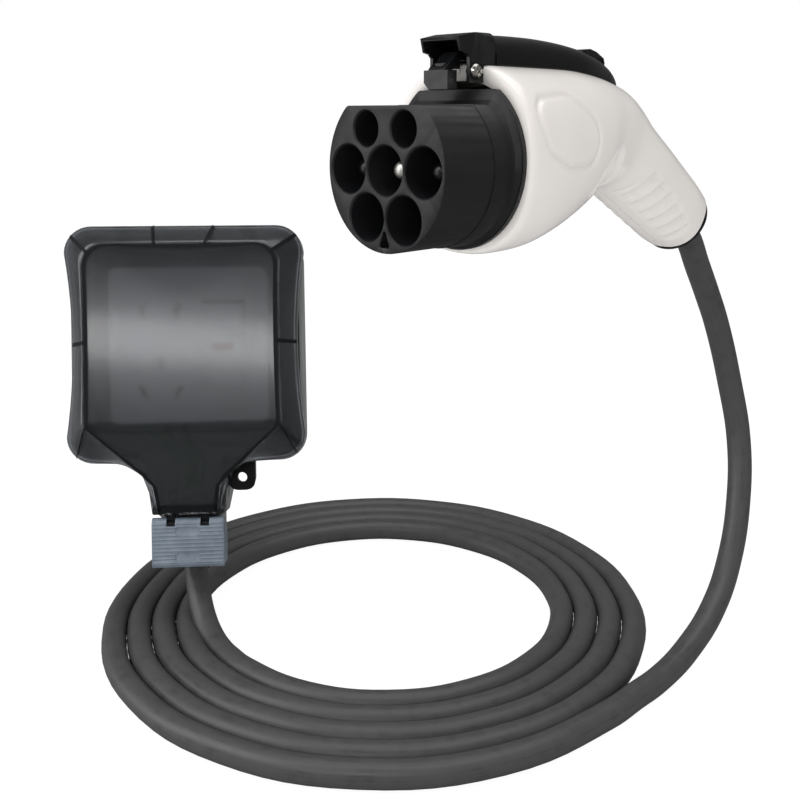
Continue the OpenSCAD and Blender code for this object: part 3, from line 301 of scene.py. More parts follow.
def nylon_clamp():
    # Glass-filled nylon of the cord clamps: dull dark grey
    material, tree, skin = finish("nylon_glass_filled", "#2c2d30", Roughness=0.5, IOR=1.53)
    tinted(tree, skin, 3, "#292a2d", "#333437")
    grain(tree, skin, 0.5, 0.04)
    return material


def core_sleeves():
    # PVC core insulation, extruded: soft gloss. The cores lie hidden, so all take the earth core's green
    material, tree, skin = finish("pvc_core_insulation", "#2f7a45", Roughness=0.4, IOR=1.53)
    tinted(tree, skin, 5, "#2c7442", "#37834c")
    grain(tree, skin, 0.8, 0.02)
    return material


def resistor_lacquer():
    # Baked lacquer over a film resistor
    material, tree, skin = finish("resistor_lacquer_baked", "#6f93a8", Roughness=0.35, IOR=1.5)
    tinted(tree, skin, 2, "#688ca1", "#7a9db1")
    return material


def urea_white():
    # Urea of wall plates: hard, white, soft gloss
    material, tree, skin = finish("urea_white_pressed", "#edebe6", Roughness=0.25, IOR=1.55)
    tinted(tree, skin, 25, "#efede8", "#e9e6e0")
    grain(tree, skin, 5, 0.02, strength=0.3)
    return material


def sprung_brass():
    # Rolled brass strip of the contacts
    material, tree, skin = finish("brass_strip_rolled", "#c9a55a", Roughness=0.3, Metallic=1)
    patchy(tree, skin, "Roughness", 2, 0.22, 0.38)
    return material


def red_mark():
    # Filled and polished red enamel of the rocker's mark
    material, tree, skin = finish("enamel_red_filled", "#b8463c", Roughness=0.3, IOR=1.5)
    tinted(tree, skin, 3, "#b3423a", "#bf4c41")
    return material


# Tools for shapes, in millimetres

WELD = 0.002
# Angle in degrees from which an edge of a CAD node counts as sharp
SHARP = 30
ROUND_STEPS = 72


def mapped_grid(rows, columns, place):
    """A sheet of quads whose corners go where place(u, v) puts them, u and v as arrays from 0 to 1."""
    bm = bmesh.new()
    bmesh.ops.create_grid(bm, x_segments=rows, y_segments=columns, size=0.5)
    flat = np.array([v.co for v in bm.verts])
    points = place(flat[:, 0] + 0.5, flat[:, 1] + 0.5)
    for vertex, point in zip(bm.verts, points):
        vertex.co = point
    return bm


def make_piece(name, bm, place, body, material, slot, stands_for=(), angle=35):
    """A piece from a bmesh in millimetres, put in its place in metres. stands_for names its CAD nodes."""
    bmesh.ops.remove_doubles(bm, verts=bm.verts, dist=WELD)
    bmesh.ops.recalc_face_normals(bm, faces=bm.faces)
    bmesh.ops.transform(bm, matrix=place, verts=bm.verts)
    mesh = bpy.data.meshes.new(name)
    bm.to_mesh(mesh)
    bm.free()
    return put_out(name, mesh, body, material, slot, stands_for, angle)


def put_out(name, mesh, body, material, slot, stands_for, angle):
    """The object of a finished mesh, smooth up to an angle, on its body; the slot is not used."""
    mesh.materials.clear()
    mesh.materials.append(material)
    mesh.shade_smooth()
    mesh.set_sharp_from_angle(angle=math.radians(angle))
    obj = bpy.data.objects.new(name, mesh)
    bpy.context.scene.collection.objects.link(obj)
    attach(obj, body)
    if stands_for:
        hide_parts(*stands_for)
    return obj


def dress(node, name, material, slot, edge=0.25):
    """A CAD node's own shape, merged and smooth, with its edges broken by edge millimetres."""
    source = frame["nodes"][node]
    bm = bmesh.new()
    bm.from_mesh(source.data)
    bmesh.ops.remove_doubles(bm, verts=bm.verts, dist=WELD * MM)
    mesh = bpy.data.meshes.new(name)
    bm.to_mesh(mesh)
    bm.free()
    obj = put_out(name, mesh, source["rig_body"], material, slot, [node], SHARP)
    if edge:
        broken = obj.modifiers.new("broken_edges", "BEVEL")
        broken.width = edge * MM
        broken.segments = 2
        broken.harden_normals = True
        broken.limit_method = "ANGLE"
        broken.angle_limit = math.radians(SHARP)


def thicken(obj, wall, even=True):
    """Gives an open moulding its wall, inwards, in millimetres."""
    solid = obj.modifiers.new("wall", "SOLIDIFY")
    solid.thickness = wall * MM
    solid.offset = -1
    solid.use_even_offset = even


def collar(reach, hole, low, high, edge=0.3):
    """A flat piece round a hole along z, its outline reach(angle) from the hole's axis, as a bmesh."""
    profile = [(0, low + edge), (edge, low), (1 - edge, low), (1, low + edge), (1, high - edge),
               (1 - edge, high), (edge, high), (0, high - edge), (0, low + edge)]

    def place(u, v):
        turn = u * 2 * math.pi
        k = np.rint(v * (len(profile) - 1)).astype(int)
        far = np.array([reach(math.degrees(t) % 360) for t in turn])
        spots = np.array(profile)[k]
        inside = np.where(spots[:, 0] < 0.5, hole + spots[:, 0], far - (1 - spots[:, 0]))
        return np.column_stack([inside * np.cos(turn), inside * np.sin(turn), spots[:, 1]])

    return mapped_grid(ROUND_STEPS, len(profile) - 1, place)


def tab_reach(r, tabs):
    """Outline of a round eye of radius r with tabs, each a box (x0, y0, x1, y1) that holds the centre."""
    def reach(angle):
        c, s = math.cos(math.radians(angle)), math.sin(math.radians(angle))
        best = r
        for x0, y0, x1, y1 in tabs:
            sides = [(x1 if c > 0 else x0) / c if abs(c) > 1e-6 else 1e9,
                     (y1 if s > 0 else y0) / s if abs(s) > 1e-6 else 1e9]
            best = max(best, min(sides))
        return best
    return reach


def smooth_step(x, low, high):
    """Rises from 0 at low to 1 at high, level at both ends."""
    t = np.clip((x - low) / (high - low), 0, 1)
    return t * t * (3 - 2 * t)


def spline(a, b, c, d, t):
    """A smooth run from b to c as t goes from 0 to 1, with a before it and d after it."""
    return b + 0.5 * t * (c - a + t * (2 * a - 5 * b + 4 * c - d + t * (3 * (b - c) + d - a)))


def along(table, s):
    """Rows of a table of stations, read smoothly between them at the places s."""
    rows = np.array(table, float)
    last = len(rows) - 1
    low = np.clip(np.floor(s).astype(int), 0, last)
    t = (s - low)[:, None]
    knots = [rows[np.clip(low + k, 0, last)] for k in (-1, 0, 1, 2)]
    return spline(*knots, t)


def bent(value, power):
    """A cosine or sine turned into that of a rounded square."""
    return np.sign(value) * np.abs(value) ** power


def hull_distance(across, up, circles):
    """Distance from the outline round a set of circles, less than 0 inside it."""
    best = np.full(len(across), -1e9)
    for turn in np.linspace(0, 2 * math.pi, ROUND_STEPS, endpoint=False):
        c, s = math.cos(turn), math.sin(turn)
        reach = max(x * c + y * s + r for x, y, r in circles)
        best = np.maximum(best, across * c + up * s - reach)
    return best


# Lead: from the plug's handle down to the floor, round in a flat coil, and up into the box

CORD_D = 13
# Where the lead leaves the plug, and which way the handle points there
TAIL = Vector((0, 205, -31))
TAIL_OUT = Vector((0, math.cos(math.radians(30)), -math.sin(math.radians(30))))
LEAD = [(0, 205, -31), (1.4, 217.4, -41.5), (2.5, 228, -57), (4.6, 237.5, -73), (7.8, 245, -90),
        (14.6, 253, -123), (23.4, 253.4, -156), (31.6, 243, -187), (38.6, 224, -215), (43, 201.5, -233),
        (45, 173.5, -245), (45.6, 146, -250), (45, 123, -250.5)]
DROP = [(-120, 5.2, -250.5), (-131.5, 7, -250.4), (-143.9, 9.9, -248.7), (-155.1, 13.4, -244.4),
        (-164.6, 17.2, -237.8), (-172, 20.8, -229.4), (-177, 23.7, -220), (-179.4, 25.5, -210.7)]
COIL_AT = (-108, 101.5)
COIL_Z = -250.5
COIL_INNER = 97.1
COIL_PITCH = 13.02
# The coil runs inwards between these angles in degrees, in this many stretches
COIL_FROM = 1800
COIL_TO = 270
COIL_STRETCHES = 64
# How far the lead goes on inside the plug and the box
INSIDE = 28


def coil_turns():
    """The coil's centreline from its outer end by the plug's lead to its inner end, 15 points a turn."""
    turns = []
    for k in range(COIL_STRETCHES + 1):
        angle = COIL_FROM - (COIL_FROM - COIL_TO) * k / COIL_STRETCHES
        r = COIL_INNER + COIL_PITCH * (angle - COIL_TO) / 360
        a = math.radians(angle)
        turns.append((COIL_AT[0] + r * math.cos(a), COIL_AT[1] + r * math.sin(a), COIL_Z))
    return turns


def make_lead(material):
    up_the_neck = (BOX.to_3x3() @ Vector((0, 1, 0))).normalized()
    ends = [TAIL - TAIL_OUT * INSIDE, TAIL - TAIL_OUT * INSIDE / 2]
    route = ends + [Vector(p) for p in LEAD + coil_turns() + DROP]
    route += [route[-1] + up_the_neck * INSIDE / 2, route[-1] + up_the_neck * INSIDE]
    curve = bpy.data.curves.new("lead", "CURVE")
    curve.dimensions = "3D"
    curve.bevel_depth = CORD_D / 2 * MM
    curve.bevel_resolution = 6
    curve.resolution_u = 6
    curve.use_fill_caps = True
    line = curve.splines.new("BEZIER")
    line.bezier_points.add(len(route) - 1)
    for knot, point in zip(line.bezier_points, route):
        knot.co = point * MM
        knot.handle_left_type = knot.handle_right_type = "AUTO"
    curve.materials.append(material)
    lead = bpy.data.objects.new("lead", curve)
    bpy.context.scene.collection.objects.link(lead)
    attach(lead, "adapter")
    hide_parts("plug_lead", "coil", "box_lead")


# Plug shell: the same lofted sections as the CAD, read finely, with the moulding's relief on them.
# Each row is distance behind the front, height, droop, and the side, top and bottom half sizes as
# shares between the handle's and the body's.

STATIONS = [
    (0, 2.5, 0, 0.94, 0.94, 0.94), (4, 2.5, 0, 1.02, 1, 1.03), (20, 2.5, 0, 1, 1, 1),
    (35, 3, 3, 0.91, 0.97, 0.85), (50, 4.5, 8, 0.76, 0.88, 0.7), (63, 6, 14, 0.59, 0.74, 0.56),
    (75, 7, 20, 0.38, 0.6, 0.38), (87, 6.5, 25, 0.21, 0.47, 0.18), (98, 4.5, 29, 0.08, 0.28, 0.03),
    (110, -0.5, 30, 0.03, 0.08, 0), (125, -8.5, 30, 0.02, 0.01, -0.02),
    (140, -17, 30, -0.01, -0.03, -0.04), (155, -25.5, 30, -0.05, -0.07, -0.07),
    (165, -31, 30, -0.12, -0.13, -0.13)]
HANDLE_R = 18.5
BODY_R = 35.5
LAST = len(STATIONS) - 1
SHELL_POWER = 2 / 2.35
SHELL_WALL = 2.6
SHELL_COLUMNS = 168
# Gap of each half to the middle plane, and depth and half width of the seam it leaves
SEAM_GAP = 0.06
SEAM_DEPTH = 0.3
SEAM_HALF = 0.5
# Oval panel on the side, as circles (y, z, radius) whose hull it is, in a rounded groove
PANEL = [(13.5, 18, 7.5), (28, 16.5, 10), (37.5, 10.5, 10.5), (27, 9, 9), (16, 12, 7.5)]
PANEL_RISE = 0.3
GROOVE_DEPTH = 0.85
GROOVE_HALF = 1.1
# Grip recess in the same way, as distance up the handle from its end against height across it
GRIP = [(15, -12, 5), (56, -10, 6), (62, -24, 7), (15, -26, 6)]
GRIP_DEPTH = 1.7
RIB_RISE = 1.5
RIB_PITCH = 9.4
# Shallow dent where the thumb and finger web lie, seen from the side
DENT = [(59, -7, 5), (73, 1, 6), (76, -10, 5)]
DENT_DEPTH = 1.7


def shell_points(s, angle, grow):
    """Points on the shell's sections: station, angle round it in degrees, and growth, as arrays."""
    q = along(STATIONS, s)
    half = HANDLE_R + (BODY_R - HANDLE_R) * q[:, 3:6]
    c, v = np.cos(np.radians(angle)), np.sin(np.radians(angle))
    up = bent(v, SHELL_POWER) * (np.where(v > 0, half[:, 1], half[:, 2]) + grow)
    droop = np.radians(q[:, 2])
    return np.stack([bent(c, SHELL_POWER) * (half[:, 0] + grow), q[:, 0] + up * np.sin(droop),
                     q[:, 1] + up * np.cos(droop)], axis=1)


def shell_relief(points):
    """How far the moulding stands proud or sinks at points of the plain shell, in millimetres."""
    x, y, z = np.abs(points[:, 0]), points[:, 1], points[:, 2]
    panel = hull_distance(y, z, PANEL)
    side = smooth_step(x, 16, 20)
    groove = GROOVE_DEPTH * np.exp(-(panel / GROOVE_HALF) ** 2)
    relief = side * (PANEL_RISE * smooth_step(-panel, -1, 1.2) - groove)
    relief -= DENT_DEPTH * smooth_step(-hull_distance(y, z, DENT), -1, 3.6) * smooth_step(x, 5, 13)
    dy, dz = y - STATIONS[LAST][0], z - STATIONS[LAST][1]
    up_handle = -dy * TAIL_OUT.y - dz * TAIL_OUT.z
    across = -dy * TAIL_OUT.z + dz * TAIL_OUT.y
    sunk = smooth_step(-hull_distance(up_handle, across, GRIP), -0.9, 2.1) * smooth_step(x, 5, 12)
    crescent = up_handle + 0.02 * (across + 18) ** 2
    rib = 0.5 + 0.5 * np.cos(2 * math.pi * (crescent - 16) / RIB_PITCH)
    relief += sunk * (RIB_RISE * smooth_step(rib, 0.3, 0.98) - GRIP_DEPTH)
    relief -= SEAM_DEPTH * np.clip(1 - x / SEAM_HALF, 0, 1) ** 2
    return relief


def shell_half(name, side, node):
    """One half of the shell: front lip, body and grip, and the lip that holds the end cap."""
    # Stations with their growth at both lips, which round over and turn inwards
    ends = [(0, -5.5), (0, -1), (0.02, -0.3), (0.09, 0)]
    tail = [(LAST - 0.09, 0), (LAST - 0.02, -0.3), (LAST, -1), (LAST, -6)]
    body = np.concatenate([np.linspace(0.15, 1, 10)[:-1], np.linspace(1, 4, 88)[:-1],
                           np.linspace(4, 7.8, 52)[:-1], np.linspace(7.8, LAST - 0.15, 90)])
    stations = np.array([e[0] for e in ends] + list(body) + [t[0] for t in tail])
    grows = np.array([e[1] for e in ends] + [0] * len(body) + [t[1] for t in tail])
    rows = len(stations)

    def place(u, v):
        row = np.rint(u * (rows - 1)).astype(int)
        s, grow = stations[row], grows[row]
        t = 2 * v - 1
        angle = 90 * np.sign(t) * (1 - (1 - np.abs(t)) ** 1.25)
        plain = shell_points(s, angle, grow * 0)
        points = shell_points(s, angle, grow + shell_relief(plain) * (grow > -0.5))
        points[:, 0] = side * (points[:, 0] + SEAM_GAP)
        return points

    bm = mapped_grid(rows - 1, SHELL_COLUMNS, place)
    obj = make_piece(name, bm, PLUG, "adapter", WHITE, "white_shell", [node], angle=50)
    thicken(obj, SHELL_WALL)


# Top cover: an arch along the shell's top line, with the release button's opening.
# Each row is the shell station, half width, and rise as a share of the cover's.

COVER = [
    (1.09, 13.8, 0.99), (1.4, 13.8, 1), (2, 13.6, 1.03), (3, 13, 1.02), (4, 12.4, 0.93),
    (4.7, 11.8, 0.88), (5.3, 10.4, 0.83), (5.9, 8.6, 0.72), (6.4, 7, 0.6), (7, 4.2, 0.4),
    (7.4, 1.6, 0.16)]
COVER_RISE = 10
COVER_FOOT = 5
COVER_WALL = 1
COVER_POWER = 2 / 2.6
COVER_STEPS = 110
BUTTON_FROM = 67.5
BUTTON_TO = 89
BUTTON_HALF = 6
# How much each side of the opening draws in towards the back
BUTTON_TAPER = 1.8
AIR = 0.35


def cover_points(row, angle, inset):
    """Points on the cover: row of COVER, angle round it in degrees, and inset, as arrays."""
    c = along(COVER, row)
    q = along(STATIONS, c[:, 0])
    top = HANDLE_R + (BODY_R - HANDLE_R) * q[:, 4]
    cos, sin = np.cos(np.radians(angle)), np.sin(np.radians(angle))
    rise = np.maximum(c[:, 2] * COVER_RISE - inset, 0.2)
    up = top + bent(sin, COVER_POWER) * np.where(sin > 0, rise, COVER_FOOT)
    droop = np.radians(q[:, 2])
    half = np.maximum(c[:, 1] - inset, 0.3)
    return np.stack([bent(cos, COVER_POWER) * half, q[:, 0] + up * np.sin(droop),
                     q[:, 1] + up * np.cos(droop)], axis=1)


def top_cover():
    rows = np.concatenate([[0, 0.01, 0.06], np.linspace(0.12, len(COVER) - 1, COVER_STEPS)])
    insets = np.array([1, 0.3, 0.05] + [0] * COVER_STEPS)

    def place(u, v):
        row = np.rint(u * (len(rows) - 1)).astype(int)
        return cover_points(rows[row], -35 + 250 * v, insets[row])

    bm = mapped_grid(len(rows) - 1, 90, place)
    half = BUTTON_HALF + 2 * AIR
    low, high = BUTTON_FROM - AIR, BUTTON_TO + 3 * AIR
    taper = BUTTON_TAPER / (high - low)
    cuts = [((0, low, 0), (0, 1, 0)), ((0, high, 0), (0, 1, 0)), ((half, low, 0), (1, taper, 0)),
            ((-half, low, 0), (-1, taper, 0))]
    for point, normal in cuts:
        bmesh.ops.bisect_plane(bm, geom=bm.verts[:] + bm.edges[:] + bm.faces[:], dist=1e-4,
                               plane_co=point, plane_no=normal)

    def in_opening(face):
        x, y, z = face.calc_center_median()
        return low < y < high and abs(x) < half - taper * (y - low) and z > 15

    bmesh.ops.delete(bm, geom=[f for f in bm.faces if in_opening(f)], context="FACES")
    obj = make_piece("top_cover_moulding", bm, PLUG, "adapter", GLOSS, "gloss_black", ["top_cover"],
                     angle=40)
    thicken(obj, COVER_WALL)


# End cap: radii, and heights over the handle's end
CAP_BORE = CORD_D / 2 + 0.1
CAP_R = 16.6
CAP_SEAT = 0.15
CAP_FACE = 2.6
SLEEVE_R = 9.3
SLEEVE_END = -26


def end_cap():
    """The handle's end cap round the lead, and its sleeve inside the handle."""
    tilt = Matrix.Rotation(math.radians(-120), 4, "X")
    place = PLUG @ Matrix.Translation((0, STATIONS[LAST][0], STATIONS[LAST][1])) @ tilt
    rim = collar(tab_reach(CAP_R, []), CAP_BORE, CAP_SEAT, CAP_FACE, 0.7)
    make_piece("end_cap_rim", rim, place, "adapter", NYLON, "cap_rubber", ["handle_cap"])
    sleeve = collar(tab_reach(SLEEVE_R, []), CAP_BORE, SLEEVE_END, CAP_SEAT, 0.5)
    make_piece("end_cap_sleeve", sleeve, place, "adapter", NYLON, "cap_rubber")


# Box lid: half outlines from the middle of the top edge round to the end of the neck, at the rim and
# at the raised panel, as corners with a radius

LID_END = -91.4
LID_RIM = [(64, 64, 14.5), (64, -64, 14.5), (26.2, -64, 9), (20.7, -80, 6), (19.2, LID_END, 0.8)]
LID_PANEL = [(51.5, 52, 11.3), (51.5, -44.5, 8), (23, -70, 3), (18.1, -76, 3), (16, LID_END, 0.8)]
# How far the long sides are drawn in at their middle, at the rim and at the panel
LID_WAIST = 3.9
PANEL_WAIST = 0.8
LONG_SIDE = 49.5
# Height of the panel against y: level over the box, then falling away over the neck
LID_TOP = 26
LID_FALL = [(LID_END, 13.6), (-84, 15.4), (-74.8, 17.6), (-60, 22), (-48, 25.5), (-42, LID_TOP),
            (60, LID_TOP)]
# Heights of the straight skirt and of the shoulder over it, and the panel's crown
SKIRT = 10
SHOULDER = 2.2
CROWN = 0.5
LID_WALL = 2.4
ARC_STEPS = 9
SIDE_STEPS = 12
# Levels of the lid at the foot of the ribs and at the panel's edge
FOOT_LEVEL = 3
EDGE_LEVEL = 8
RIB_W = 1.9
RIB_DEPTH = 1.6
RIB_PROUD = 0.1
RIB_INSET = 0.6
NECK_END = -91.3
NECK_HALF = 15.6
NECK_BAND = 4.5
RIBS_AT = [(17.1, 64), (59.8, 59.8), (60.1, 2), (59.8, -59.8)]


def lid_outline(corners, dip):
    """Points along one half outline, with the long side drawn in by dip at its middle."""
    ends = [(0, corners[0][1])] + list(corners) + [(0, corners[-1][1])]
    points = [Vector(ends[0])]
    for i in range(1, len(ends) - 1):
        at = Vector(ends[i][:2])
        back = (Vector(ends[i - 1][:2]) - at).normalized()
        ahead = (Vector(ends[i + 1][:2]) - at).normalized()
        half = back.angle(ahead) / 2
        reach = ends[i][2] / math.tan(half)
        start, stop = at + back * reach, at + ahead * reach
        for k in range(1, SIDE_STEPS):
            points.append(points[-1].lerp(start, 1 / (SIDE_STEPS - k + 1)))
        centre = at + (back + ahead).normalized() * (ends[i][2] / math.sin(half))
        turn = (start - centre).angle_signed(stop - centre)
        for k in range(ARC_STEPS + 1):
            a = -turn * k / ARC_STEPS
            arm = start - centre
            points.append(centre + Vector((arm.x * math.cos(a) - arm.y * math.sin(a),
                                           arm.x * math.sin(a) + arm.y * math.cos(a))))
    for k in range(1, SIDE_STEPS + 1):
        points.append(points[-1].lerp(Vector(ends[-1]), 1 / (SIDE_STEPS - k + 1)))
    out = np.array([tuple(p) for p in points])
    on_side = (out[:, 0] > 30) * (np.abs(out[:, 1]) < LONG_SIDE)
    out[:, 0] -= dip * np.clip(1 - (out[:, 1] / LONG_SIDE) ** 2, 0, 1) * on_side
    return out


def lid_top(y):
    """Height of the lid's panel, which falls away over the neck."""
    return np.interp(y, *zip(*LID_FALL))


def lid_levels():
    """The lid's half outlines from the rim to the middle of the panel, as points in three."""
    rim, panel = lid_outline(LID_RIM, LID_WAIST), lid_outline(LID_PANEL, PANEL_WAIST)
    top = lid_top(panel[:, 1])

    def level(share, z):
        flat = rim + (panel - rim) * share
        return np.column_stack([flat, np.broadcast_to(z, len(flat))])

    bend = SKIRT + SHOULDER
    levels = [level(0, 0), level(0.01, SKIRT / 2), level(0.03, SKIRT - 0.4), level(0.06, SKIRT + 0.8),
              level(0.13, bend), level(0.5, bend + (top - bend) * 0.44),
              level(0.9, top - 1.2), level(0.97, top - 0.3), level(1.03, top)]
    spine = np.column_stack([0 * top, np.clip(panel[:, 1], -82, 22)])
    for share in (0.93, 0.75, 0.5, 0.25, 0):
        inner = spine + (panel - spine) * share
        crown = CROWN * (1 - share ** 2) * smooth_step(panel[:, 1], -90, -40)
        levels.append(np.column_stack([inner, lid_top(inner[:, 1]) + crown]))
    return np.array(levels)


def lid_moulding():
    """The hollow lid: one half through its levels, mirrored."""
    levels = lid_levels()
    rows, columns = levels.shape[:2]

    def place(u, v):
        return levels[np.rint(u * (rows - 1)).astype(int), np.rint(v * (columns - 1)).astype(int)]

    bm = mapped_grid(rows - 1, columns - 1, place)
    bmesh.ops.remove_doubles(bm, verts=bm.verts, dist=0.02)
    bmesh.ops.dissolve_degenerate(bm, edges=bm.edges, dist=0.01)
    for v in bm.verts:
        if v.co.x < 0.01:
            v.co.x = 0
    bmesh.ops.mirror(bm, geom=bm.verts[:] + bm.edges[:] + bm.faces[:], axis="X", merge_dist=0.001)
    obj = make_piece("lid_shell", bm, BOX, "box_lid", SMOKE, "smoked_lid", ["lid"], angle=40)
    thicken(obj, LID_WALL, even=False)


def beams(runs, depth):
    """Square-edged ribs of one depth, each run a list of pairs of points along its two top edges."""
    bm = bmesh.new()
    drop = np.array([0, 0, depth])
    for run in runs:
        rings = [[bm.verts.new(c) for c in (left, right, right - drop, left - drop)] for left, right in run]
        for one, two in zip(rings, rings[1:]):
            for k in range(4):
                bm.faces.new((one[k], one[(k + 1) % 4], two[(k + 1) % 4], two[k]))
        bm.faces.new(rings[0][::-1])
        bm.faces.new(rings[-1])
    return bm


def lid_ribs():
    """The lid's ribs, moulded through its wall: a frame round the panel and eight out to the rim."""
    levels = lid_levels()
    foot, edge, inner = levels[FOOT_LEVEL], levels[EDGE_LEVEL], levels[EDGE_LEVEL + 1]
    inward = inner - edge
    inward[:, 2] = 0
    inward /= np.linalg.norm(inward, axis=1)[:, None]
    count = len(edge) - SIDE_STEPS - ARC_STEPS

    def on_panel(j, reach):
        at = edge[j] + inward[j] * reach
        return np.array([at[0], at[1], float(lid_top(at[1])) + RIB_PROUD])

    runs = [[(on_panel(j, RIB_INSET + RIB_W), on_panel(j, RIB_INSET)) for j in range(count)]]
    for x, y in RIBS_AT:
        j = int(np.argmin(np.hypot(foot[:, 0] - x, foot[:, 1] - y)))
        across = np.array([-inward[j][1], inward[j][0], 0]) * RIB_W / 2
        proud = np.array([0, 0, 1]) * RIB_PROUD - inward[j] * RIB_PROUD
        down = [levels[k][j] + proud for k in range(EDGE_LEVEL, FOOT_LEVEL - 1, -1)]
        line = [on_panel(j, RIB_INSET + 0.1)] + down
        runs.append([(q - across, q + across) for q in line])
    flip = np.array([-1, 1, 1])
    runs += [[(left * flip, right * flip) for left, right in run] for run in runs]
    end = [np.array([NECK_HALF, y, float(lid_top(y)) + RIB_PROUD])
           for y in (NECK_END, NECK_END + NECK_BAND)]
    runs.append([(end[0] * flip, end[1] * flip), (end[0], end[1])])
    make_piece("lid_ribs", beams(runs, RIB_DEPTH), BOX, "box_lid", RIB, "smoked_lid")


# Places on the lid, and sizes, of the padlock ear, the hinge knuckles and the clip's lugs. A tab is a
# box (x0, y0, x1, y1) from the hole's axis, which joins the piece to the lid.
EAR_AT = (28.2, -73, 0)
EAR_HALF = 7
EAR_POWER = 3.2
EAR_HOLE = 2.7
EAR_THICK = 4
EAR_TABS = [(-11, -1, 1, 12), (-7, -1, 7, 11)]
PIN_HOLE = 1.45
# Name, place of the pin's axis, radius, tabs, length along the pin and where each starts on it
EYES = [
    ("lid_knuckle", (0, 61.5, -4.5), 2.7, [(-1.2, -1, 2.2, 8.5)], 8, (-38, 30)),
    ("clip_lug", (0, -97.6, 10.4), 3, [(-1, -3, 7.8, 0.6)], 4, (-11, 7)),
]


def lid_hardware():
    """The lid's padlock ear, hinge knuckles and the lugs that carry its clip."""
    joined = tab_reach(5, EAR_TABS)

    def rounded(angle):
        c, s = abs(math.cos(math.radians(angle))), abs(math.sin(math.radians(angle)))
        return max(EAR_HALF / (c ** EAR_POWER + s ** EAR_POWER) ** (1 / EAR_POWER), joined(angle))

    ear = collar(rounded, EAR_HOLE, 0, EAR_THICK, 0.5)
    make_piece("lid_ear", ear, BOX @ Matrix.Translation(EAR_AT), "box_lid", RIB, "smoked_lid")
    # Turns a collar's axis from z to x, along the pins
    sideways = Matrix(((0, 0, 1, 0), (1, 0, 0, 0), (0, 1, 0, 0), (0, 0, 0, 1)))
    for name, axis, radius, tabs, length, starts in EYES:
        for i, x in enumerate(starts):
            eye = collar(tab_reach(radius, tabs), PIN_HOLE, x, x + length, 0.2)
            make_piece(f"{name}_{i + 1}", eye, BOX @ Matrix.Translation(axis) @ sideways, "box_lid", RIB,
                       "smoked_lid")


# White paper floor and studio light

FLOOR_HALF_M = 400
# Seen by the camera or through the lid, the floor is this share of plain white over lit paper, so that
# it keeps the object's shadow
WHITE_SHARE = 0.86
WHITE_GLOW = 1.1
# Paper and sky as they light the object. In glossy parts both are mostly flagged off, as in a studio
PAPER, PAPER_IN_GLOSS = 0.9, 0.22
SKY, SKY_IN_GLOSS = 0.56, 0.14


def ray_kinds(tree):
    """Outputs that are 1 for a ray from the camera or through the lid, and for one off a gloss."""
    seen = add(tree, "ShaderNodeLightPath")
    direct = add(tree, "ShaderNodeMath", {"operation": "MAXIMUM"}, in0=seen.outputs["Is Camera Ray"],
                 in1=seen.outputs["Is Transmission Ray"])
    return direct.outputs[0], seen.outputs["Is Glossy Ray"]


def backdrop():
    bm = bmesh.new()
    bmesh.ops.create_grid(bm, x_segments=1, y_segments=1, size=FLOOR_HALF_M)
    bmesh.ops.translate(bm, verts=bm.verts, vec=(0, 0, FLOOR_Z * MM))
    mesh = bpy.data.meshes.new("floor")
    bm.to_mesh(mesh)
    bm.free()
    material = bpy.data.materials.new("paper_white")
    material.use_nodes = True
    tree = material.node_tree
    tree.nodes.clear()
    direct, glossy = ray_kinds(tree)
    share = add(tree, "ShaderNodeMath", {"operation": "MULTIPLY"}, in0=direct, in1=WHITE_SHARE)
    shade = add(tree, "ShaderNodeMapRange", in0=glossy, in3=PAPER, in4=PAPER_IN_GLOSS)
    paper = add(tree, "ShaderNodeBsdfDiffuse", Color=shade.outputs[0])
    glow = add(tree, "ShaderNodeEmission", Strength=WHITE_GLOW)
    mixed = add(tree, "ShaderNodeMixShader", in0=share.outputs[0], in1=paper.outputs[0],
                in2=glow.outputs[0])
    add(tree, "ShaderNodeOutputMaterial", Surface=mixed.outputs[0])
    mesh.materials.append(material)
    floor = bpy.data.objects.new("floor", mesh)
    bpy.context.scene.collection.objects.link(floor)


def light_world():
    world = bpy.data.worlds.new("studio")
    world.use_nodes = True
    bpy.context.scene.world = world
    tree = world.node_tree
    tree.nodes.clear()
    direct, glossy = ray_kinds(tree)
    dim = add(tree, "ShaderNodeMapRange", in0=glossy, in3=SKY, in4=SKY_IN_GLOSS)
    strength = add(tree, "ShaderNodeMix", in0=direct, in2=dim.outputs[0], in3=1.0)
    sky = add(tree, "ShaderNodeBackground", Color=(1, 1, 1, 1), Strength=strength.outputs[0])
    add(tree, "ShaderNodeOutputWorld", Surface=sky.outputs[0])


def lamp(name, place, aim, size, power):
    """A soft box at a place in metres, facing aim, with its width and height and its power in watts."""
    data = bpy.data.lights.new(name, "AREA")
    data.shape = "RECTANGLE"
    data.size, data.size_y = size
    data.energy = power
    obj = bpy.data.objects.new(name, data)
    obj.location = place
    obj.rotation_euler = (Vector(aim) - Vector(place)).to_track_quat("-Z", "Y").to_euler()
    bpy.context.scene.collection.objects.link(obj)


WHITE, NOSE, GLOSS, SATIN = white_shell(), black_nose(), black_gloss(), black_satin()
SHEATH, SMOKE, RIB, BASE, CLIP = rubber_jacket(), smoked_lid(), smoked_rib(), grey_base(), slate_clip()
GASKET, SILVER, NICKEL, ZINC = gasket_rubber(), silver_pin(), nickel_pin(), zinc_screw()
STAINLESS, WIRE, NYLON, CLAMP = stainless_screw(), spring_wire(), nylon_black(), nylon_clamp()
CORES, LACQUER, UREA = core_sleeves(), resistor_lacquer(), urea_white()
BRASS, RED = sprung_brass(), red_mark()

make_lead(SHEATH)
shell_half("shell_right_moulding", 1, "shell_right")
shell_half("shell_left_moulding", -1, "shell_left")
top_cover()
end_cap()
lid_moulding()
lid_ribs()
lid_hardware()

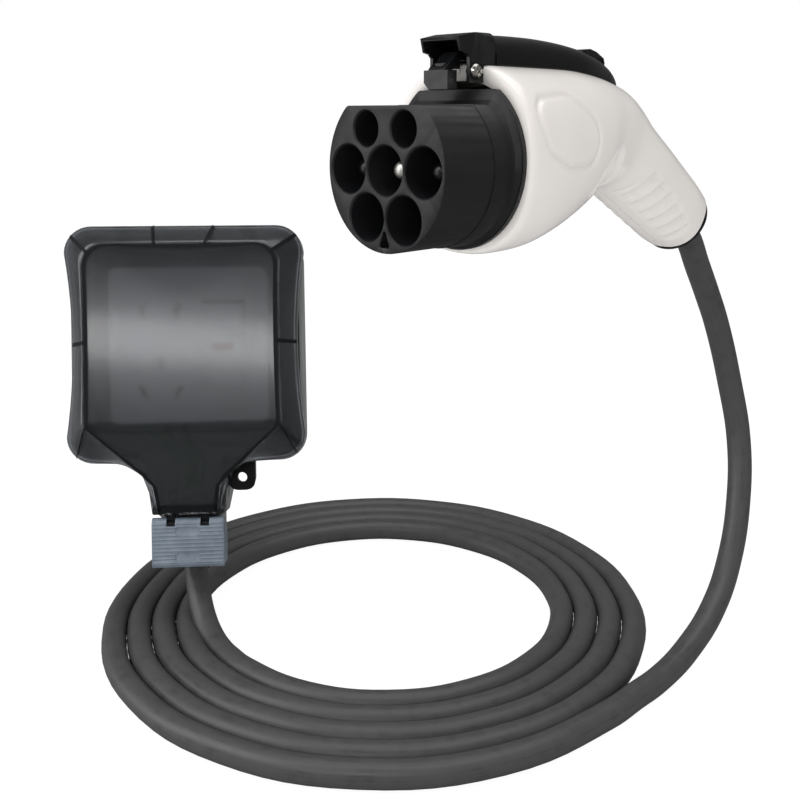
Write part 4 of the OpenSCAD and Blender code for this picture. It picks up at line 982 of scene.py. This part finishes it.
# CAD nodes that keep their own shape: name of the piece, finish, the record's slot, broken edge
KEPT = {
    "nose": ("nose_moulding", NOSE, "black_insulator", 0.3),
    "nose_gasket": ("nose_seal", GASKET, "gasket_rubber", 0),
    "earth_pin": ("earth_contact", SILVER, "bright_pin", 0),
    "power_pins": ("power_contacts", NICKEL, "plated_pin", 0),
    "power_pin_caps": ("power_contact_tips", NYLON, "black_insulator", 0),
    "signal_pins": ("signal_contacts", NICKEL, "plated_pin", 0),
    "shell_screws": ("shell_fixings", ZINC, "zinc_screw", 0.1),
    "latch_hood": ("hood_moulding", SATIN, "gloss_black", 0.5),
    "hood_screws": ("hood_fixings", STAINLESS, "bright_screw", 0.12),
    "latch_lever": ("latch_lever_moulding", SATIN, "black_insulator", 0.35),
    "release_button": ("button_moulding", GLOSS, "gloss_black", 0.4),
    "pivot_pin": ("pivot_rod", ZINC, "zinc_screw", 0.1),
    "latch_spring": ("return_spring", WIRE, "spring_steel", 0),
    "cord_clamp": ("handle_clamp", CLAMP, "clamp_plastic", 0.2),
    "clamp_screws": ("handle_clamp_fixings", ZINC, "zinc_screw", 0),
    "core_wires": ("plug_cores", CORES, "core_insulation", 0),
    "coding_resistor": ("coding_resistor_body", LACQUER, "resistor_body", 0),
    "box_base": ("base_moulding", BASE, "base_plastic", 0.35),
    "box_gasket": ("lid_seal", GASKET, "gasket_rubber", 0),
    "hinge_pins": ("hinge_rods", ZINC, "zinc_screw", 0),
    "lid_clip": ("clip_moulding", CLIP, "clip_plastic", 0.3),
    "clip_pin": ("clip_rod", ZINC, "zinc_screw", 0),
    "cable_grommet": ("neck_grommet", GASKET, "cap_rubber", 0.2),
    "box_cord_clamp": ("neck_clamp", CLAMP, "clamp_plastic", 0.2),
    "box_clamp_screws": ("neck_clamp_fixings", ZINC, "zinc_screw", 0),
    "wall_plate": ("plate_moulding", UREA, "plate_plastic", 0.5),
    "socket_insert": ("socket_face", UREA, "plate_plastic", 0.2),
    "socket_contacts": ("socket_springs", BRASS, "contact_brass", 0),
    "mechanism_frame": ("mechanism_body", CLAMP, "base_plastic", 0.3),
    "switch_rocker": ("rocker_moulding", UREA, "plate_plastic", 0.5),
    "rocker_mark": ("rocker_inlay", RED, "mark_red", 0.1),
    "plate_screws": ("plate_fixings", ZINC, "zinc_screw", 0),
    "box_wires": ("box_cores", CORES, "core_insulation", 0),
}
for cad_node, (piece_name, surface, record_slot, broken_edge) in KEPT.items():
    dress(cad_node, piece_name, surface, record_slot, broken_edge)

backdrop()
light_world()
lamp("key", (-0.5, -0.9, 0.8), (-0.05, 0.1, -0.05), (0.9, 0.9), 7)
lamp("overhead", (0.1, 0.2, 1.1), (0, 0.1, -0.1), (1.2, 1.2), 7)
lamp("right_fill", (1, 0.2, 0.3), (0, 0.1, -0.1), (0.8, 0.8), 0.4)
lamp("face_fill", (-0.9, -0.9, 0.05), (0, 0, 0), (0.8, 0.8), 3.2)
lamp("lid_strip", (0.35, -0.6, 0.22), (-0.195, 0.039, -0.102), (0.5, 0.06), 0.8)

scene = bpy.context.scene
scene.view_settings.view_transform = "Standard"
